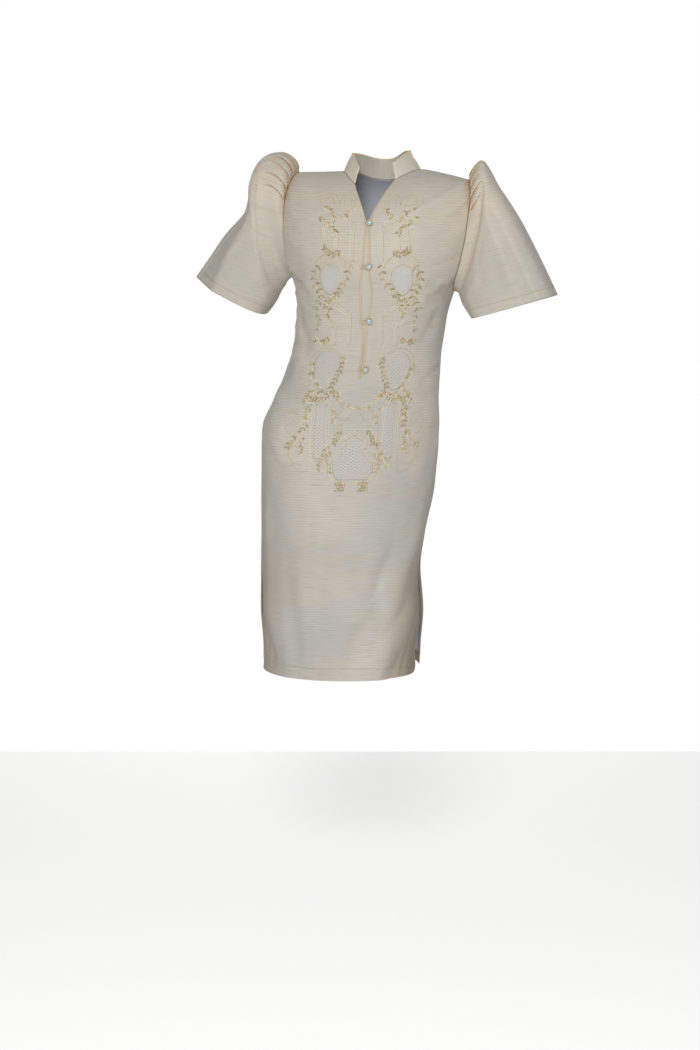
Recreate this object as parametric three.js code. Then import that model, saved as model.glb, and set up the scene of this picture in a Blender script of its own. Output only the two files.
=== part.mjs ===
// Barong dress: a short-sleeved shift of stiff ecru cloth with high pleated sleeve caps, a stand
// collar, a V neck with a buttoned placket, and a slit at each side of the skirt.
// Millimetres. The origin is the middle of the neck base, +Z is up and the front faces -Y.
// Turns round the body are in degrees: 0 is the middle of the front, +90 the wearer's left side,
// -90 the wearer's right side and 180 the middle of the back.

import * as THREE from "three";

// ---------- driving sizes ----------
const CLOTH = 1.4;
const COLLAR_CLOTH = 2.0;
const TURNED_CLOTH = 1.0;
const STAND_CLOTH = 1.1;
const SEAM_GAP = 0.3;
const LAYER_GAP = 0.35;
const HEM_HEIGHT = 17;
const SLEEVE_HEM_HEIGHT = 16;
const SLEEVE_HEM_EASE = 0.7;
const CREASE_SOFTNESS = 0.2;
const SLIT_TOP = -690;
const HEM_LEVEL = -876;
const ARM_FOOT = -196;
const V_BOTTOM = -90;
const PLACKET_END = -352;
const STAND_ACROSS = [-13.5, -4, 4.5, 13];
const STAND_LAP = 11;
const STAND_DROP = 3;
const SHOULDER_ROUND = 120;
const SECTION_POWER = 2.3;
const BUTTON_WIDTH = 9.5;
const BUTTON_HEIGHT = 5.2;
const LOOP_CORD = 1.5;

// Cloth to a degree of turn round the body, on average.
const DEGREE_MM = 2.3;

// Level sections of the body: half width, depth to the front and to the back from the section's
// middle, the middle's shift to the wearer's left, and the section's turn.
const SECTIONS = [
  { z: -885, half: 141.5, front: 111, back: 104, shift: -75, turn: 8 },
  { z: -840, half: 142.5, front: 110, back: 106, shift: -73.5, turn: 8.5 },
  { z: -775, half: 147, front: 109, back: 109, shift: -72.5, turn: 10 },
  { z: -700, half: 144, front: 108, back: 113, shift: -74, turn: 12 },
  { z: -640, half: 147.5, front: 108, back: 116, shift: -69, turn: 13.5 },
  { z: -540, half: 154, front: 107, back: 121, shift: -61.5, turn: 15.5 },
  { z: -446, half: 156, front: 105, back: 116, shift: -57, turn: 16 },
  { z: -391, half: 144, front: 102, back: 101, shift: -46, turn: 13 },
  { z: -354, half: 137, front: 101, back: 91, shift: -37, turn: 10.5 },
  { z: -300, half: 130.5, front: 104, back: 85, shift: -26.5, turn: 8.5 },
  { z: -249, half: 131, front: 111, back: 90, shift: -19, turn: 6 },
  { z: -210, half: 137, front: 116, back: 98, shift: -14, turn: 4.5 },
  { z: -180, half: 148, front: 116, back: 103, shift: -12, turn: 3 },
  { z: -145, half: 163, front: 113, back: 106, shift: -9, turn: 2 },
  { z: -95, half: 173, front: 107, back: 106, shift: -6, turn: 0.5 },
  { z: -45, half: 176, front: 104, back: 104, shift: -3, turn: 0 },
  { z: 20, half: 172, front: 104, back: 98, shift: 0, turn: 0 },
];

// The line along the top of the shoulders: height and depth across the body.
const SHOULDER_LINE = [
  { across: -200, z: -22, y: 9 },
  { across: -167, z: -7, y: 8 },
  { across: -146, z: -1.5, y: 7 },
  { across: -107, z: -1, y: 4 },
  { across: -69, z: 0, y: 2 },
  { across: 0, z: 1, y: 0 },
  { across: 67, z: 3, y: 2 },
  { across: 107, z: -4, y: 4 },
  { across: 146, z: -14, y: 7 },
  { across: 167, z: -22, y: 8 },
  { across: 200, z: -40, y: 9 },
];

// The armhole on each side: the part of the way round it from the underarm to the shoulder tip,
// and the turn round the body on the front and on the back, counted from the side seam.
const ARMHOLE = [
  { part: 0.0, front: 0, back: 0 },
  { part: 0.055, front: 7, back: 7 },
  { part: 0.113, front: 15, back: 14 },
  { part: 0.178, front: 20.5, back: 19 },
  { part: 0.25, front: 23, back: 21 },
  { part: 0.352, front: 24.5, back: 23 },
  { part: 0.42, front: 28, back: 27.5 },
  { part: 0.5, front: 33, back: 33 },
];
const UNDERARM = { right: -183, left: -203 };

// Half the width that stands open between the two front edges below the V neck.
const PLACKET_GAPE = [
  { z: -360, half: 0.6 },
  { z: -330, half: 1.4 },
  { z: -290, half: 1.9 },
  { z: -268, half: 3.2 },
  { z: -248, half: 5.6 },
  { z: -222, half: 8.2 },
  { z: -196, half: 8.8 },
  { z: -165, half: 5.2 },
  { z: -140, half: 4.2 },
  { z: -108, half: 2.8 },
  { z: -90, half: 1.6 },
];

// The neck edge from the foot of the V to the shoulder on each side, and the back neck.
const NOTCH = { right: { x: 36, z: -21 }, left: { x: 35, z: -14 } };
const NECK_POINT = { right: 69, left: 67 };
const BACK_NECK_Z = -15;

// How far each side slit's edges have swung away from the side line.
const SLIT_OPENING = [
  { z: -885, frontLeft: 33, frontRight: 5, backLeft: 2, backRight: 4 },
  { z: -860, frontLeft: 32, frontRight: 7, backLeft: 0, backRight: 4 },
  { z: -820, frontLeft: 27, frontRight: 10, backLeft: -2, backRight: 3 },
  { z: -780, frontLeft: 20, frontRight: 10, backLeft: -3, backRight: 3 },
  { z: -740, frontLeft: 9, frontRight: 6, backLeft: -1, backRight: 2 },
  { z: -700, frontLeft: 1, frontRight: 1, backLeft: 0, backRight: 0 },
  { z: -685, frontLeft: 0, frontRight: 0, backLeft: 0, backRight: 0 },
];

// Large folds of the body: a soft ridge (outward) or trough (negative) between two places.
const FOLDS = [
  { turn1: 58, z1: -22, turn2: 20, z2: -82, width: 17, out: 3.2 },
  { turn1: 66, z1: -60, turn2: 34, z2: -120, width: 20, out: -2.4 },
  { turn1: -60, z1: -30, turn2: -28, z2: -95, width: 18, out: 2.2 },
  { turn1: 82, z1: -205, turn2: 42, z2: -196, width: 16, out: -4.0 },
  { turn1: -84, z1: -190, turn2: -46, z2: -176, width: 16, out: -3.6 },
  { turn1: -80, z1: -240, turn2: -50, z2: -222, width: 18, out: 2.2 },
  { turn1: -88, z1: -335, turn2: -38, z2: -402, width: 20, out: -4.4 },
  { turn1: -86, z1: -372, turn2: -46, z2: -440, width: 20, out: 3.2 },
  { turn1: 86, z1: -330, turn2: 44, z2: -372, width: 20, out: -3.4 },
  { turn1: 84, z1: -470, turn2: 40, z2: -520, width: 26, out: 2.6 },
  { turn1: 40, z1: -752, turn2: 4, z2: -866, width: 22, out: -4.6 },
  { turn1: 62, z1: -742, turn2: 26, z2: -880, width: 22, out: 5.2 },
  { turn1: 50, z1: -830, turn2: 38, z2: -886, width: 15, out: -5.2 },
  { turn1: -76, z1: -750, turn2: -48, z2: -870, width: 18, out: -5.2 },
  { turn1: -58, z1: -720, turn2: -34, z2: -884, width: 26, out: 3.2 },
  { turn1: -40, z1: -560, turn2: -28, z2: -800, width: 34, out: 2.4 },
  { turn1: 18, z1: -520, turn2: 10, z2: -820, width: 36, out: 2.2 },
  { turn1: 128, z1: -40, turn2: 152, z2: -130, width: 20, out: 2.6 },
  { turn1: 232, z1: -40, turn2: 210, z2: -120, width: 20, out: 2.4 },
  { turn1: 98, z1: -208, turn2: 138, z2: -190, width: 17, out: -3.6 },
  { turn1: 262, z1: -192, turn2: 224, z2: -180, width: 17, out: -3.4 },
  { turn1: 118, z1: -300, turn2: 166, z2: -330, width: 20, out: -3.6 },
  { turn1: 244, z1: -310, turn2: 200, z2: -350, width: 20, out: -3.8 },
  { turn1: 130, z1: -352, turn2: 176, z2: -372, width: 18, out: 2.8 },
  { turn1: 150, z1: -610, turn2: 140, z2: -880, width: 30, out: -4.2 },
  { turn1: 186, z1: -640, turn2: 178, z2: -880, width: 34, out: 3.8 },
  { turn1: 222, z1: -600, turn2: 232, z2: -880, width: 30, out: -4.4 },
  { turn1: 112, z1: -700, turn2: 120, z2: -884, width: 20, out: 3.4 },
];

// Stand collar: the way round from the right front end (-1) through the middle of the back (0)
// to the left front end (1), with its height and how far the top leans in to the neck.
const COLLAR = [
  { way: -1.0, height: 27, lean: 9 },
  { way: -0.62, height: 29, lean: 17 },
  { way: -0.3, height: 32, lean: 14 },
  { way: 0.0, height: 35, lean: 7 },
  { way: 0.3, height: 34, lean: 15 },
  { way: 0.62, height: 30, lean: 20 },
  { way: 1.0, height: 27, lean: 9 },
];

// Sleeves: rings from the cap to the cuff. outX and outZ are the outer or upper edge, inX and inZ
// the edge towards the body, y the ring's middle, front and back its depth, bend its
// squareness, bow how far the middle of its front and back stands outward, and edge how far out
// the front stays flat before it turns into the outer face.
const SLEEVE_RIGHT = [
  { outX: -160, outZ: 19, inX: -166, inZ: -186, y: -3, front: 44, back: 43, bend: 2.1, bow: 17, edge: 1 },
  { outX: -183, outZ: 31.5, inX: -172, inZ: -192, y: -1, front: 46, back: 47, bend: 2.1, bow: 16, edge: 1 },
  { outX: -212, outZ: 24, inX: -177, inZ: -200, y: 0, front: 50, back: 52, bend: 2.2, bow: 12, edge: 1 },
  { outX: -230, outZ: -3, inX: -183, inZ: -208, y: -1, front: 52, back: 54, bend: 2.3, bow: 8, edge: 1 },
  { outX: -233, outZ: -38, inX: -188, inZ: -217, y: -2, front: 53, back: 54, bend: 2.5, bow: 4, edge: 0.97 },
  { outX: -249, outZ: -72, inX: -193, inZ: -226, y: -3, front: 53, back: 54, bend: 2.7, bow: 0, edge: 0.9 },
  { outX: -283, outZ: -109, inX: -199, inZ: -235, y: -4, front: 54, back: 53, bend: 2.8, bow: 0, edge: 0.82 },
  { outX: -311, outZ: -148, inX: -204, inZ: -242, y: -5, front: 55, back: 52, bend: 2.9, bow: 0, edge: 0.75 },
  { outX: -337, outZ: -184, inX: -209, inZ: -248, y: -6, front: 56, back: 51, bend: 2.9, bow: 0, edge: 0.68 },
];
const SLEEVE_LEFT = [
  { outX: 160, outZ: 3, inX: 133, inZ: -207, y: 1, front: 46, back: 47, bend: 2.1, bow: 21, edge: 1 },
  { outX: 171.5, outZ: 17, inX: 135, inZ: -212, y: 2, front: 46, back: 47, bend: 2.1, bow: 21, edge: 1 },
  { outX: 184, outZ: 6, inX: 137.5, inZ: -217, y: 0, front: 51, back: 52, bend: 2.2, bow: 17, edge: 1 },
  { outX: 200, outZ: -21, inX: 140, inZ: -222, y: -2, front: 53, back: 54, bend: 2.3, bow: 13, edge: 1 },
  { outX: 219, outZ: -48, inX: 143, inZ: -227, y: -4, front: 55, back: 55, bend: 2.5, bow: 9, edge: 1 },
  { outX: 242, outZ: -83, inX: 147, inZ: -232, y: -6, front: 56, back: 54, bend: 2.6, bow: 5, edge: 1 },
  { outX: 264, outZ: -123, inX: 151.5, inZ: -238, y: -8, front: 57, back: 53, bend: 2.7, bow: 2, edge: 1 },
  { outX: 286, outZ: -165, inX: 156, inZ: -244, y: -10, front: 58, back: 52, bend: 2.8, bow: 0, edge: 1 },
  { outX: 307, outZ: -208, inX: 161, inZ: -250, y: -12, front: 59, back: 51, bend: 2.8, bow: 0, edge: 1 },
];

// Knife pleats of each cap: how many, the stretch of the armhole they fill, and their form.
const CAP_PLEATS = 9;
const PLEAT_START = 0.3335;
const PLEAT_END = 0.6665;
const PLEAT_HEIGHT = 4.6;
const PLEAT_REACH = 0.3;

// Buttons down the placket.
const BUTTONS = [
  { name: "1", z: -87, fromEdge: 2.6 },
  { name: "2", z: -160, fromEdge: 1.2 },
  { name: "3", z: -252, fromEdge: 2.8 },
  { name: "4", z: -335, fromEdge: 6.2 },
];

const DEGREE = Math.PI / 180;

// ---------- small mathematics ----------
const mix = (a, b, t) => a + (b - a) * t;
const clamp = (v, low, high) => Math.min(high, Math.max(low, v));
const ease = (t) => t * t * (3 - 2 * t);
const step = (from, to, v) => ease(clamp((v - from) / (to - from), 0, 1));
const power = (v, p) => Math.sign(v) * Math.abs(v) ** p;

// A smooth line through one column of a table, without overshoot.
function line(rows, key, column) {
  const at = rows.map((row) => row[key]);
  const value = rows.map((row) => row[column]);
  const rise = at.slice(1).map((v, i) => (value[i + 1] - value[i]) / (v - at[i]));
  const slope = at.map((_, i) => {
    if (i === 0) {
      return rise[0];
    }
    if (i === at.length - 1) {
      return rise[i - 1];
    }
    return rise[i - 1] * rise[i] <= 0 ? 0 : (2 * rise[i - 1] * rise[i]) / (rise[i - 1] + rise[i]);
  });
  return (v) => {
    const x = clamp(v, at[0], at[at.length - 1]);
    let i = 0;
    while (i < at.length - 2 && x > at[i + 1]) {
      i += 1;
    }
    const width = at[i + 1] - at[i];
    const t = (x - at[i]) / width;
    const h = ease(t);
    const start = slope[i] * width * t * (1 - t) ** 2;
    const end = slope[i + 1] * width * t * t * (t - 1);
    return mix(value[i], value[i + 1], h) + start + end;
  };
}

function lines(rows, key) {
  const columns = Object.keys(rows[0]).filter((name) => name !== key);
  const made = Object.fromEntries(columns.map((name) => [name, line(rows, key, name)]));
  return (v) => Object.fromEntries(columns.map((name) => [name, made[name](v)]));
}

// ---------- the body's surface ----------
const sectionAt = lines(SECTIONS, "z");
const shoulderAt = lines(SHOULDER_LINE, "across");
const gapeAt = line(PLACKET_GAPE, "z", "half");
const slitAt = lines(SLIT_OPENING, "z");

// Depth below the shoulder line for a way walked down over the rounded shoulder, and back.
const WHOLE_ROUND = (SHOULDER_ROUND * Math.PI) / 2;
const depthOf = (way) =>
  way < WHOLE_ROUND
    ? SHOULDER_ROUND * (1 - Math.cos(way / SHOULDER_ROUND))
    : SHOULDER_ROUND + way - WHOLE_ROUND;
const wayOf = (depth) =>
  depth < SHOULDER_ROUND
    ? SHOULDER_ROUND * Math.acos(1 - Math.max(0, depth) / SHOULDER_ROUND)
    : depth - SHOULDER_ROUND + WHOLE_ROUND;

const across = (section, turn) =>
  section.half * power(Math.sin(turn * DEGREE), 2 / SECTION_POWER);
const slopeLeft = (depth) => 1 - step(40, 260, depth);

// The plain surface at a turn round the body and a way down from the shoulder line.
function plainBody(turn, way) {
  const depth = depthOf(way);
  const guess = across(sectionAt(-depth), turn);
  const top = shoulderAt(guess);
  const z = top.z * slopeLeft(depth) - depth;
  const section = sectionAt(z);
  const x = across(section, turn);
  const cosine = Math.cos(turn * DEGREE);
  const reach = cosine > 0 ? section.front : section.back;
  const oval = -reach * power(cosine, 2 / SECTION_POWER);
  const cap = way < WHOLE_ROUND ? Math.sin(way / SHOULDER_ROUND) : 1;
  const topY = top.y * slopeLeft(depth);
  const y = topY + (oval - topY) * cap;
  const c = Math.cos(section.turn * DEGREE);
  const s = Math.sin(section.turn * DEGREE);
  return new THREE.Vector3(section.shift + x * c - y * s, x * s + y * c, z);
}

function normalOf(surface, u, v, du, dv) {
  const alongU = surface(u + du, v).sub(surface(u - du, v));
  const alongV = surface(u, v + dv).sub(surface(u, v - dv));
  return alongV.cross(alongU).normalize();
}

// The sum of the large folds at a place, outward positive.
function foldSum(turn, z) {
  let sum = 0;
  for (const fold of FOLDS) {
    const full = ((turn % 360) + 450) % 360 - 90;
    const ax = (fold.turn2 - fold.turn1) * DEGREE_MM;
    const az = fold.z2 - fold.z1;
    const bx = (full - fold.turn1) * DEGREE_MM;
    const bz = z - fold.z1;
    const length = Math.hypot(ax, az);
    const along = (bx * ax + bz * az) / (length * length);
    const side = (bx * az - bz * ax) / length;
    const taper = step(-0.12, 0.25, along) * (1 - step(0.75, 1.12, along));
    sum += fold.out * taper * Math.exp(-((side / fold.width) ** 2));
  }
  return sum;
}

function body(turn, way, outward = 0) {
  const point = plainBody(turn, way);
  const safeWay = Math.max(way, 3);
  const normal = normalOf(plainBody, turn, safeWay, 0.7, 2);
  const quiet = step(0, 14, way);
  return point.addScaledVector(normal, foldSum(turn, point.z) * quiet + outward);
}

// The way down that reaches a height at a turn.
function wayTo(turn, z) {
  let low = 0;
  let high = 1000;
  for (let i = 0; i < 44; i += 1) {
    const middle = (low + high) / 2;
    if (plainBody(turn, middle).z > z) {
      low = middle;
    } else {
      high = middle;
    }
  }
  return (low + high) / 2;
}

// The turn whose point lies at a distance across the body at a height.
function turnTo(x, z, back) {
  const section = sectionAt(z);
  const sine = clamp(Math.abs(x) / section.half, 0, 1) ** (SECTION_POWER / 2);
  const turn = (Math.asin(sine) / DEGREE) * Math.sign(x);
  return back ? 180 - turn : turn;
}

// ---------- edges of the panels ----------
const SIDE = { right: -1, left: 1 };
const LABEL = { right: "Right", left: "Left" };
const armholeAt = lines(ARMHOLE, "part");

// One place on an armhole: part 0 is the underarm and 0.5 the shoulder tip.
function armholePlace(side, back, part) {
  const row = armholeAt(part);
  const turn = back ? 90 + row.back : 90 - row.front;
  const share = (1 + Math.cos(2 * Math.PI * part)) / 2;
  return { turn: SIDE[side] * turn, way: wayOf(-UNDERARM[side] * share) };
}

const SEAM_TURN = (((SEAM_GAP / 2 + 0.06) / 108) ** (SECTION_POWER / 2)) / DEGREE;
const SEAM_WAY = 0.34;

function sidePlace(side, back, z) {
  const swing = slitAt(z)[(back ? "back" : "front") + LABEL[side]] / DEGREE_MM;
  const turn = SIDE[side] * (back ? 90 + SEAM_TURN + swing : 90 - SEAM_TURN - swing);
  return { turn, way: wayTo(turn, z) };
}

// Height of the hem round the body, with the corners at the slits rounded up.
function hemHeight(turn, edgeTurn) {
  const facing = Math.cos(turn * DEGREE);
  const level = HEM_LEVEL - (facing > 0 ? 4.5 * facing : 1.5 * facing);
  const fromEdge = Math.abs(turn - edgeTurn) * DEGREE_MM;
  return level + 7 * (1 - clamp(fromEdge / 20, 0, 1)) ** 2;
}

const SKIRT_ROWS = 6;
const HIP_ROWS = 10;
const CHEST_ROWS = 5;
const ARM_ROWS = 11;
const V_ROWS = 5;
const HALF_COLUMNS = 14;
const SHOULDER_COLUMNS = 9;
const PLACKET_ROW = 1 + SKIRT_ROWS + HIP_ROWS;

// Heights of the rows from the turned hem's top up to the underarm.
function rowHeights(top) {
  const hemTop = HEM_LEVEL + HEM_HEIGHT;
  const heights = [];
  for (let j = 0; j < SKIRT_ROWS; j += 1) {
    heights.push(mix(hemTop, SLIT_TOP, j / SKIRT_ROWS));
  }
  for (let j = 0; j < HIP_ROWS; j += 1) {
    heights.push(mix(SLIT_TOP, PLACKET_END, j / HIP_ROWS));
  }
  for (let j = 0; j < CHEST_ROWS; j += 1) {
    heights.push(mix(PLACKET_END, top, j / CHEST_ROWS));
  }
  return heights;
}

// The part of the way round the armhole at each row of a panel's edge.
const loopPart = (row) => 0.5 * (row / ARM_ROWS) ** 0.9;

function sideEdge(side, back) {
  const edgeTurn = sidePlace(side, back, HEM_LEVEL).turn;
  const hem = sidePlace(side, back, hemHeight(edgeTurn, edgeTurn));
  const edge = [hem, ...rowHeights(UNDERARM[side]).map((z) => sidePlace(side, back, z))];
  const underarm = armholePlace(side, back, 0);
  edge.push(sidePlace(side, back, plainBody(underarm.turn, underarm.way).z));
  for (let j = 1; j < ARM_ROWS; j += 1) {
    edge.push(armholePlace(side, back, loopPart(j)));
  }
  edge.push({ turn: armholePlace(side, back, 0.5).turn, way: SEAM_WAY });
  return edge;
}

// Half the front's opening at a height: the gape below the foot of the V, and the V above it.
function openingHalf(side, z) {
  if (z <= V_BOTTOM) {
    return gapeAt(z);
  }
  const notch = NOTCH[side];
  const rise = (z - V_BOTTOM) / (notch.z - V_BOTTOM);
  return gapeAt(V_BOTTOM) + (notch.x - gapeAt(V_BOTTOM)) * rise ** 1.25;
}

function frontEdge(side) {
  const heights = rowHeights(ARM_FOOT);
  for (let j = 0; j < ARM_ROWS - V_ROWS; j += 1) {
    heights.push(mix(ARM_FOOT, V_BOTTOM, j / (ARM_ROWS - V_ROWS)));
  }
  for (let j = 0; j <= V_ROWS; j += 1) {
    heights.push(mix(V_BOTTOM, NOTCH[side].z, j / V_ROWS));
  }
  return [hemHeight(0, 90), ...heights].map((z, row) => {
    const half = row > PLACKET_ROW ? openingHalf(side, z) : 0;
    const turn = turnTo(SIDE[side] * half, z, false);
    return { turn, way: wayTo(turn, z) };
  });
}

function backMiddle() {
  const heights = rowHeights(ARM_FOOT);
  for (let j = 0; j <= ARM_ROWS; j += 1) {
    heights.push(mix(ARM_FOOT, BACK_NECK_Z, j / ARM_ROWS));
  }
  return [hemHeight(180, 90), ...heights].map((z) => ({ turn: 180, way: wayTo(180, z) }));
}

// The top of a half panel, from the shoulder tip along the shoulder to the neck, then down it.
function topEdge(side, back) {
  const tip = Math.abs(armholePlace(side, false, 0.5).turn);
  const tipAcross = across(sectionAt(0), tip);
  const neckTurn = Math.abs(turnTo(NECK_POINT[side], 0, false));
  const end = back ? 0 : Math.abs(turnTo(NOTCH[side].x, NOTCH[side].z, false));
  const endWay = back ? wayTo(180, BACK_NECK_Z) : wayTo(SIDE[side] * end, NOTCH[side].z);
  const edge = [];
  for (let i = 0; i <= SHOULDER_COLUMNS; i += 1) {
    const x = mix(tipAcross, NECK_POINT[side], i / SHOULDER_COLUMNS);
    edge.push({ turn: Math.abs(turnTo(x, 0, false)), way: SEAM_WAY });
  }
  const rest = HALF_COLUMNS - SHOULDER_COLUMNS;
  for (let i = 1; i <= rest; i += 1) {
    const t = i / rest;
    const bend = back ? t : t ** 1.5;
    const drop = back ? Math.sin((t * Math.PI) / 2) : t;
    edge.push({ turn: mix(neckTurn, end, bend), way: mix(SEAM_WAY, endWay, drop) });
  }
  return edge.map((place) => ({
    turn: SIDE[side] * (back ? 180 - place.turn : place.turn),
    way: place.way,
  }));
}

// ---------- grids of places, and shells ----------
// A half panel as rows of places from its side edge to its middle edge.
function halfPanel(side, back) {
  const outer = sideEdge(side, back);
  const middle = (back ? backMiddle() : frontEdge(side)).map((place) => ({
    turn: back ? SIDE[side] * place.turn : place.turn,
    way: place.way,
  }));
  const top = topEdge(side, back);
  const last = outer.length - 1;
  return outer.map((edge, j) => {
    const lift = ease(clamp((j - last + ARM_ROWS) / ARM_ROWS, 0, 1));
    return top.map((place, i) => {
      const t = i / HALF_COLUMNS;
      const turn = mix(edge.turn, middle[j].turn, t);
      if (j === 0) {
        return { turn, way: wayTo(turn, hemHeight(turn, edge.turn)) };
      }
      const evenTurn = mix(top[0].turn, top[HALF_COLUMNS].turn, t);
      const evenWay = mix(top[0].way, top[HALF_COLUMNS].way, t);
      return {
        turn: turn + lift * (place.turn - evenTurn),
        way: mix(edge.way, middle[j].way, t) + lift * (place.way - evenWay),
      };
    });
  });
}

// Quads of a grid of rows and columns, whose corners run so that the sheet faces outward.
function gridQuads(rows, columns, closed = false) {
  const quads = [];
  for (let j = 0; j < rows - 1; j += 1) {
    for (let i = 0; i < (closed ? columns : columns - 1); i += 1) {
      const k = (i + 1) % columns;
      const low = j * columns;
      quads.push([low + i, low + k, low + columns + k, low + columns + i]);
    }
  }
  return quads;
}

// A closed wall from an outer and an inner sheet, with strips along all its free edges.
function shell(outer, inner, quads) {
  const count = outer.length;
  const index = [];
  const edges = new Map();
  for (const [a, b, c, d] of quads) {
    index.push(a, b, c, a, c, d);
    index.push(count + a, count + c, count + b, count + a, count + d, count + c);
    for (const [p, q] of [[a, b], [b, c], [c, d], [d, a]]) {
      if (edges.has(`${q},${p}`)) {
        edges.delete(`${q},${p}`);
      } else {
        edges.set(`${p},${q}`, [p, q]);
      }
    }
  }
  for (const [p, q] of edges.values()) {
    index.push(q, p, count + p, q, count + p, count + q);
  }
  const geometry = new THREE.BufferGeometry();
  const flat = [...outer, ...inner].flatMap((v) => [v.x, v.y, v.z]);
  geometry.setAttribute("position", new THREE.Float32BufferAttribute(flat, 3));
  geometry.setIndex(index);
  return geometry;
}

function bodyNormal(place) {
  return normalOf(body, place.turn, Math.max(place.way, 4), 0.7, 2);
}

// A wall on the body through places, its outer face moved outward and its inner face behind.
function bodyWall(places, quads, outward, thickness) {
  const outer = [];
  const inner = [];
  for (const place of places) {
    const point = body(place.turn, place.way);
    const normal = bodyNormal(place);
    outer.push(point.clone().addScaledVector(normal, outward));
    inner.push(point.clone().addScaledVector(normal, outward - thickness));
  }
  return shell(outer, inner, quads);
}

const HALVES = {
  frontRight: halfPanel("right", false),
  frontLeft: halfPanel("left", false),
  backRight: halfPanel("right", true),
  backLeft: halfPanel("left", true),
};
const ROWS = HALVES.frontRight.length;

// The front: both halves share their middle column up to the placket's end.
function frontPanel() {
  const wide = HALF_COLUMNS + 1;
  const places = HALVES.frontRight.flat();
  const leftStart = places.length;
  HALVES.frontLeft.forEach((row) => places.push(...[...row].reverse()));
  const quads = gridQuads(ROWS, wide);
  for (const quad of gridQuads(ROWS, wide)) {
    quads.push(
      quad.map((k) => {
        const row = Math.floor(k / wide);
        const shared = k % wide === 0 && row <= PLACKET_ROW;
        return shared ? row * wide + HALF_COLUMNS : leftStart + k;
      }),
    );
  }
  return compact(places, quads);
}

// Drops the places that no quad uses.
function compact(places, quads) {
  const used = new Map();
  const kept = [];
  const renamed = quads.map((quad) =>
    quad.map((k) => {
      if (!used.has(k)) {
        used.set(k, kept.length);
        kept.push(places[k]);
      }
      return used.get(k);
    }),
  );
  return { places: kept, quads: renamed };
}

function backPanel() {
  const rows = HALVES.backLeft.map((row, j) => {
    const right = HALVES.backRight[j].map((place) => ({ turn: place.turn + 360, way: place.way }));
    return [...row, ...right.reverse().slice(1)];
  });
  return { places: rows.flat(), quads: gridQuads(ROWS, 2 * HALF_COLUMNS + 1), rows };
}

// The turned hem behind a panel's foot, kept clear of the slits' own turned edges.
function hemBand(rows) {
  const two = rows.slice(0, 2).map((row) => row.map((place) => ({ ...place })));
  return { places: two.flat(), quads: gridQuads(2, two[0].length) };
}

function frontRows() {
  return HALVES.frontRight.map((row, j) => [
    ...row,
    ...[...HALVES.frontLeft[j]].reverse().slice(1),
  ]);
}

// The turned edge of a slit: one column of the half panel, from the hem's top to the slit's.
function slitFacing(half, mirrored) {
  const rows = half.slice(1, 2 + SKIRT_ROWS).map((row, j) => {
    const pair = row.slice(0, 2).map((place) => ({
      turn: place.turn,
      way: place.way - (j === 0 ? 0.6 : 0),
    }));
    return mirrored ? pair.reverse() : pair;
  });
  return { places: rows.flat(), quads: gridQuads(rows.length, 2) };
}

// The underlap behind the placket, from just above the foot of the V to just past the slit's end.
function buttonStand() {
  const heights = frontEdge("left")
    .slice(PLACKET_ROW, PLACKET_ROW + 1 + CHEST_ROWS + ARM_ROWS - V_ROWS)
    .map((place) => plainBody(place.turn, place.way).z);
  heights.unshift(PLACKET_END - STAND_LAP);
  heights[heights.length - 1] = V_BOTTOM + STAND_DROP;
  const rows = heights.map((z) =>
    STAND_ACROSS.map((x) => {
      const turn = turnTo(x, z, false);
      return { turn, way: wayTo(turn, z) };
    }),
  );
  return { places: rows.flat(), quads: gridQuads(rows.length, STAND_ACROSS.length) };
}

// ---------- sleeves ----------
// The armhole's edge as points, so that the sleeve follows the panels' own straight steps.
function armholeLoop(side) {
  const points = [];
  const last = ROWS - 1;
  for (let j = 0; j <= ARM_ROWS; j += 1) {
    const place = HALVES[`front${LABEL[side]}`][last - ARM_ROWS + j][0];
    points.push({ part: loopPart(j), point: body(place.turn, place.way) });
  }
  for (let j = ARM_ROWS; j >= 0; j -= 1) {
    const place = HALVES[`back${LABEL[side]}`][last - ARM_ROWS + j][0];
    const part = 1 - loopPart(j) + (j === ARM_ROWS ? 1e-6 : 0);
    points.push({ part, point: body(place.turn, place.way) });
  }
  return points;
}

function onLoop(loop, part) {
  let i = 0;
  while (i < loop.length - 2 && part > loop[i + 1].part) {
    i += 1;
  }
  const t = clamp((part - loop[i].part) / (loop[i + 1].part - loop[i].part), 0, 1);
  return loop[i].point.clone().lerp(loop[i + 1].point, t);
}

function ringPoint(side, ring, part) {
  const c = Math.cos(2 * Math.PI * part);
  const s = Math.sin(2 * Math.PI * part);
  const p = 2 / ring.bend;
  const outward = (1 - power(c, p)) / 2;
  const x = mix(ring.inX, ring.outX, outward) + SIDE[side] * ring.bow * s * s;
  const z = mix(ring.inZ, ring.outZ, outward);
  const rounded = power(s, p);
  if (s < 0) {
    return new THREE.Vector3(x, ring.y - rounded * ring.back, z);
  }
  const outerFace = (1 - outward) / Math.max(1 - ring.edge, 0.001);
  const forward = (rounded + outerFace - Math.hypot(rounded - outerFace, CREASE_SOFTNESS * rounded)) / 2;
  return new THREE.Vector3(x, ring.y - forward * ring.front, z);
}

// A point along a smooth line through points, at a whole-and-part position.
function along(points, at) {
  const i = clamp(Math.floor(at), 0, points.length - 2);
  const t = at - i;
  const b = points[i];
  const c = points[i + 1];
  const a = i > 0 ? points[i - 1] : b.clone().multiplyScalar(2).sub(c);
  const d = i < points.length - 2 ? points[i + 2] : c.clone().multiplyScalar(2).sub(b);
  const from = c.clone().sub(a).multiplyScalar(0.5);
  const to = d.clone().sub(b).multiplyScalar(0.5);
  return b
    .clone()
    .lerp(c, ease(t))
    .addScaledVector(from, t * (1 - t) ** 2)
    .addScaledVector(to, t * t * (t - 1));
}

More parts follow.
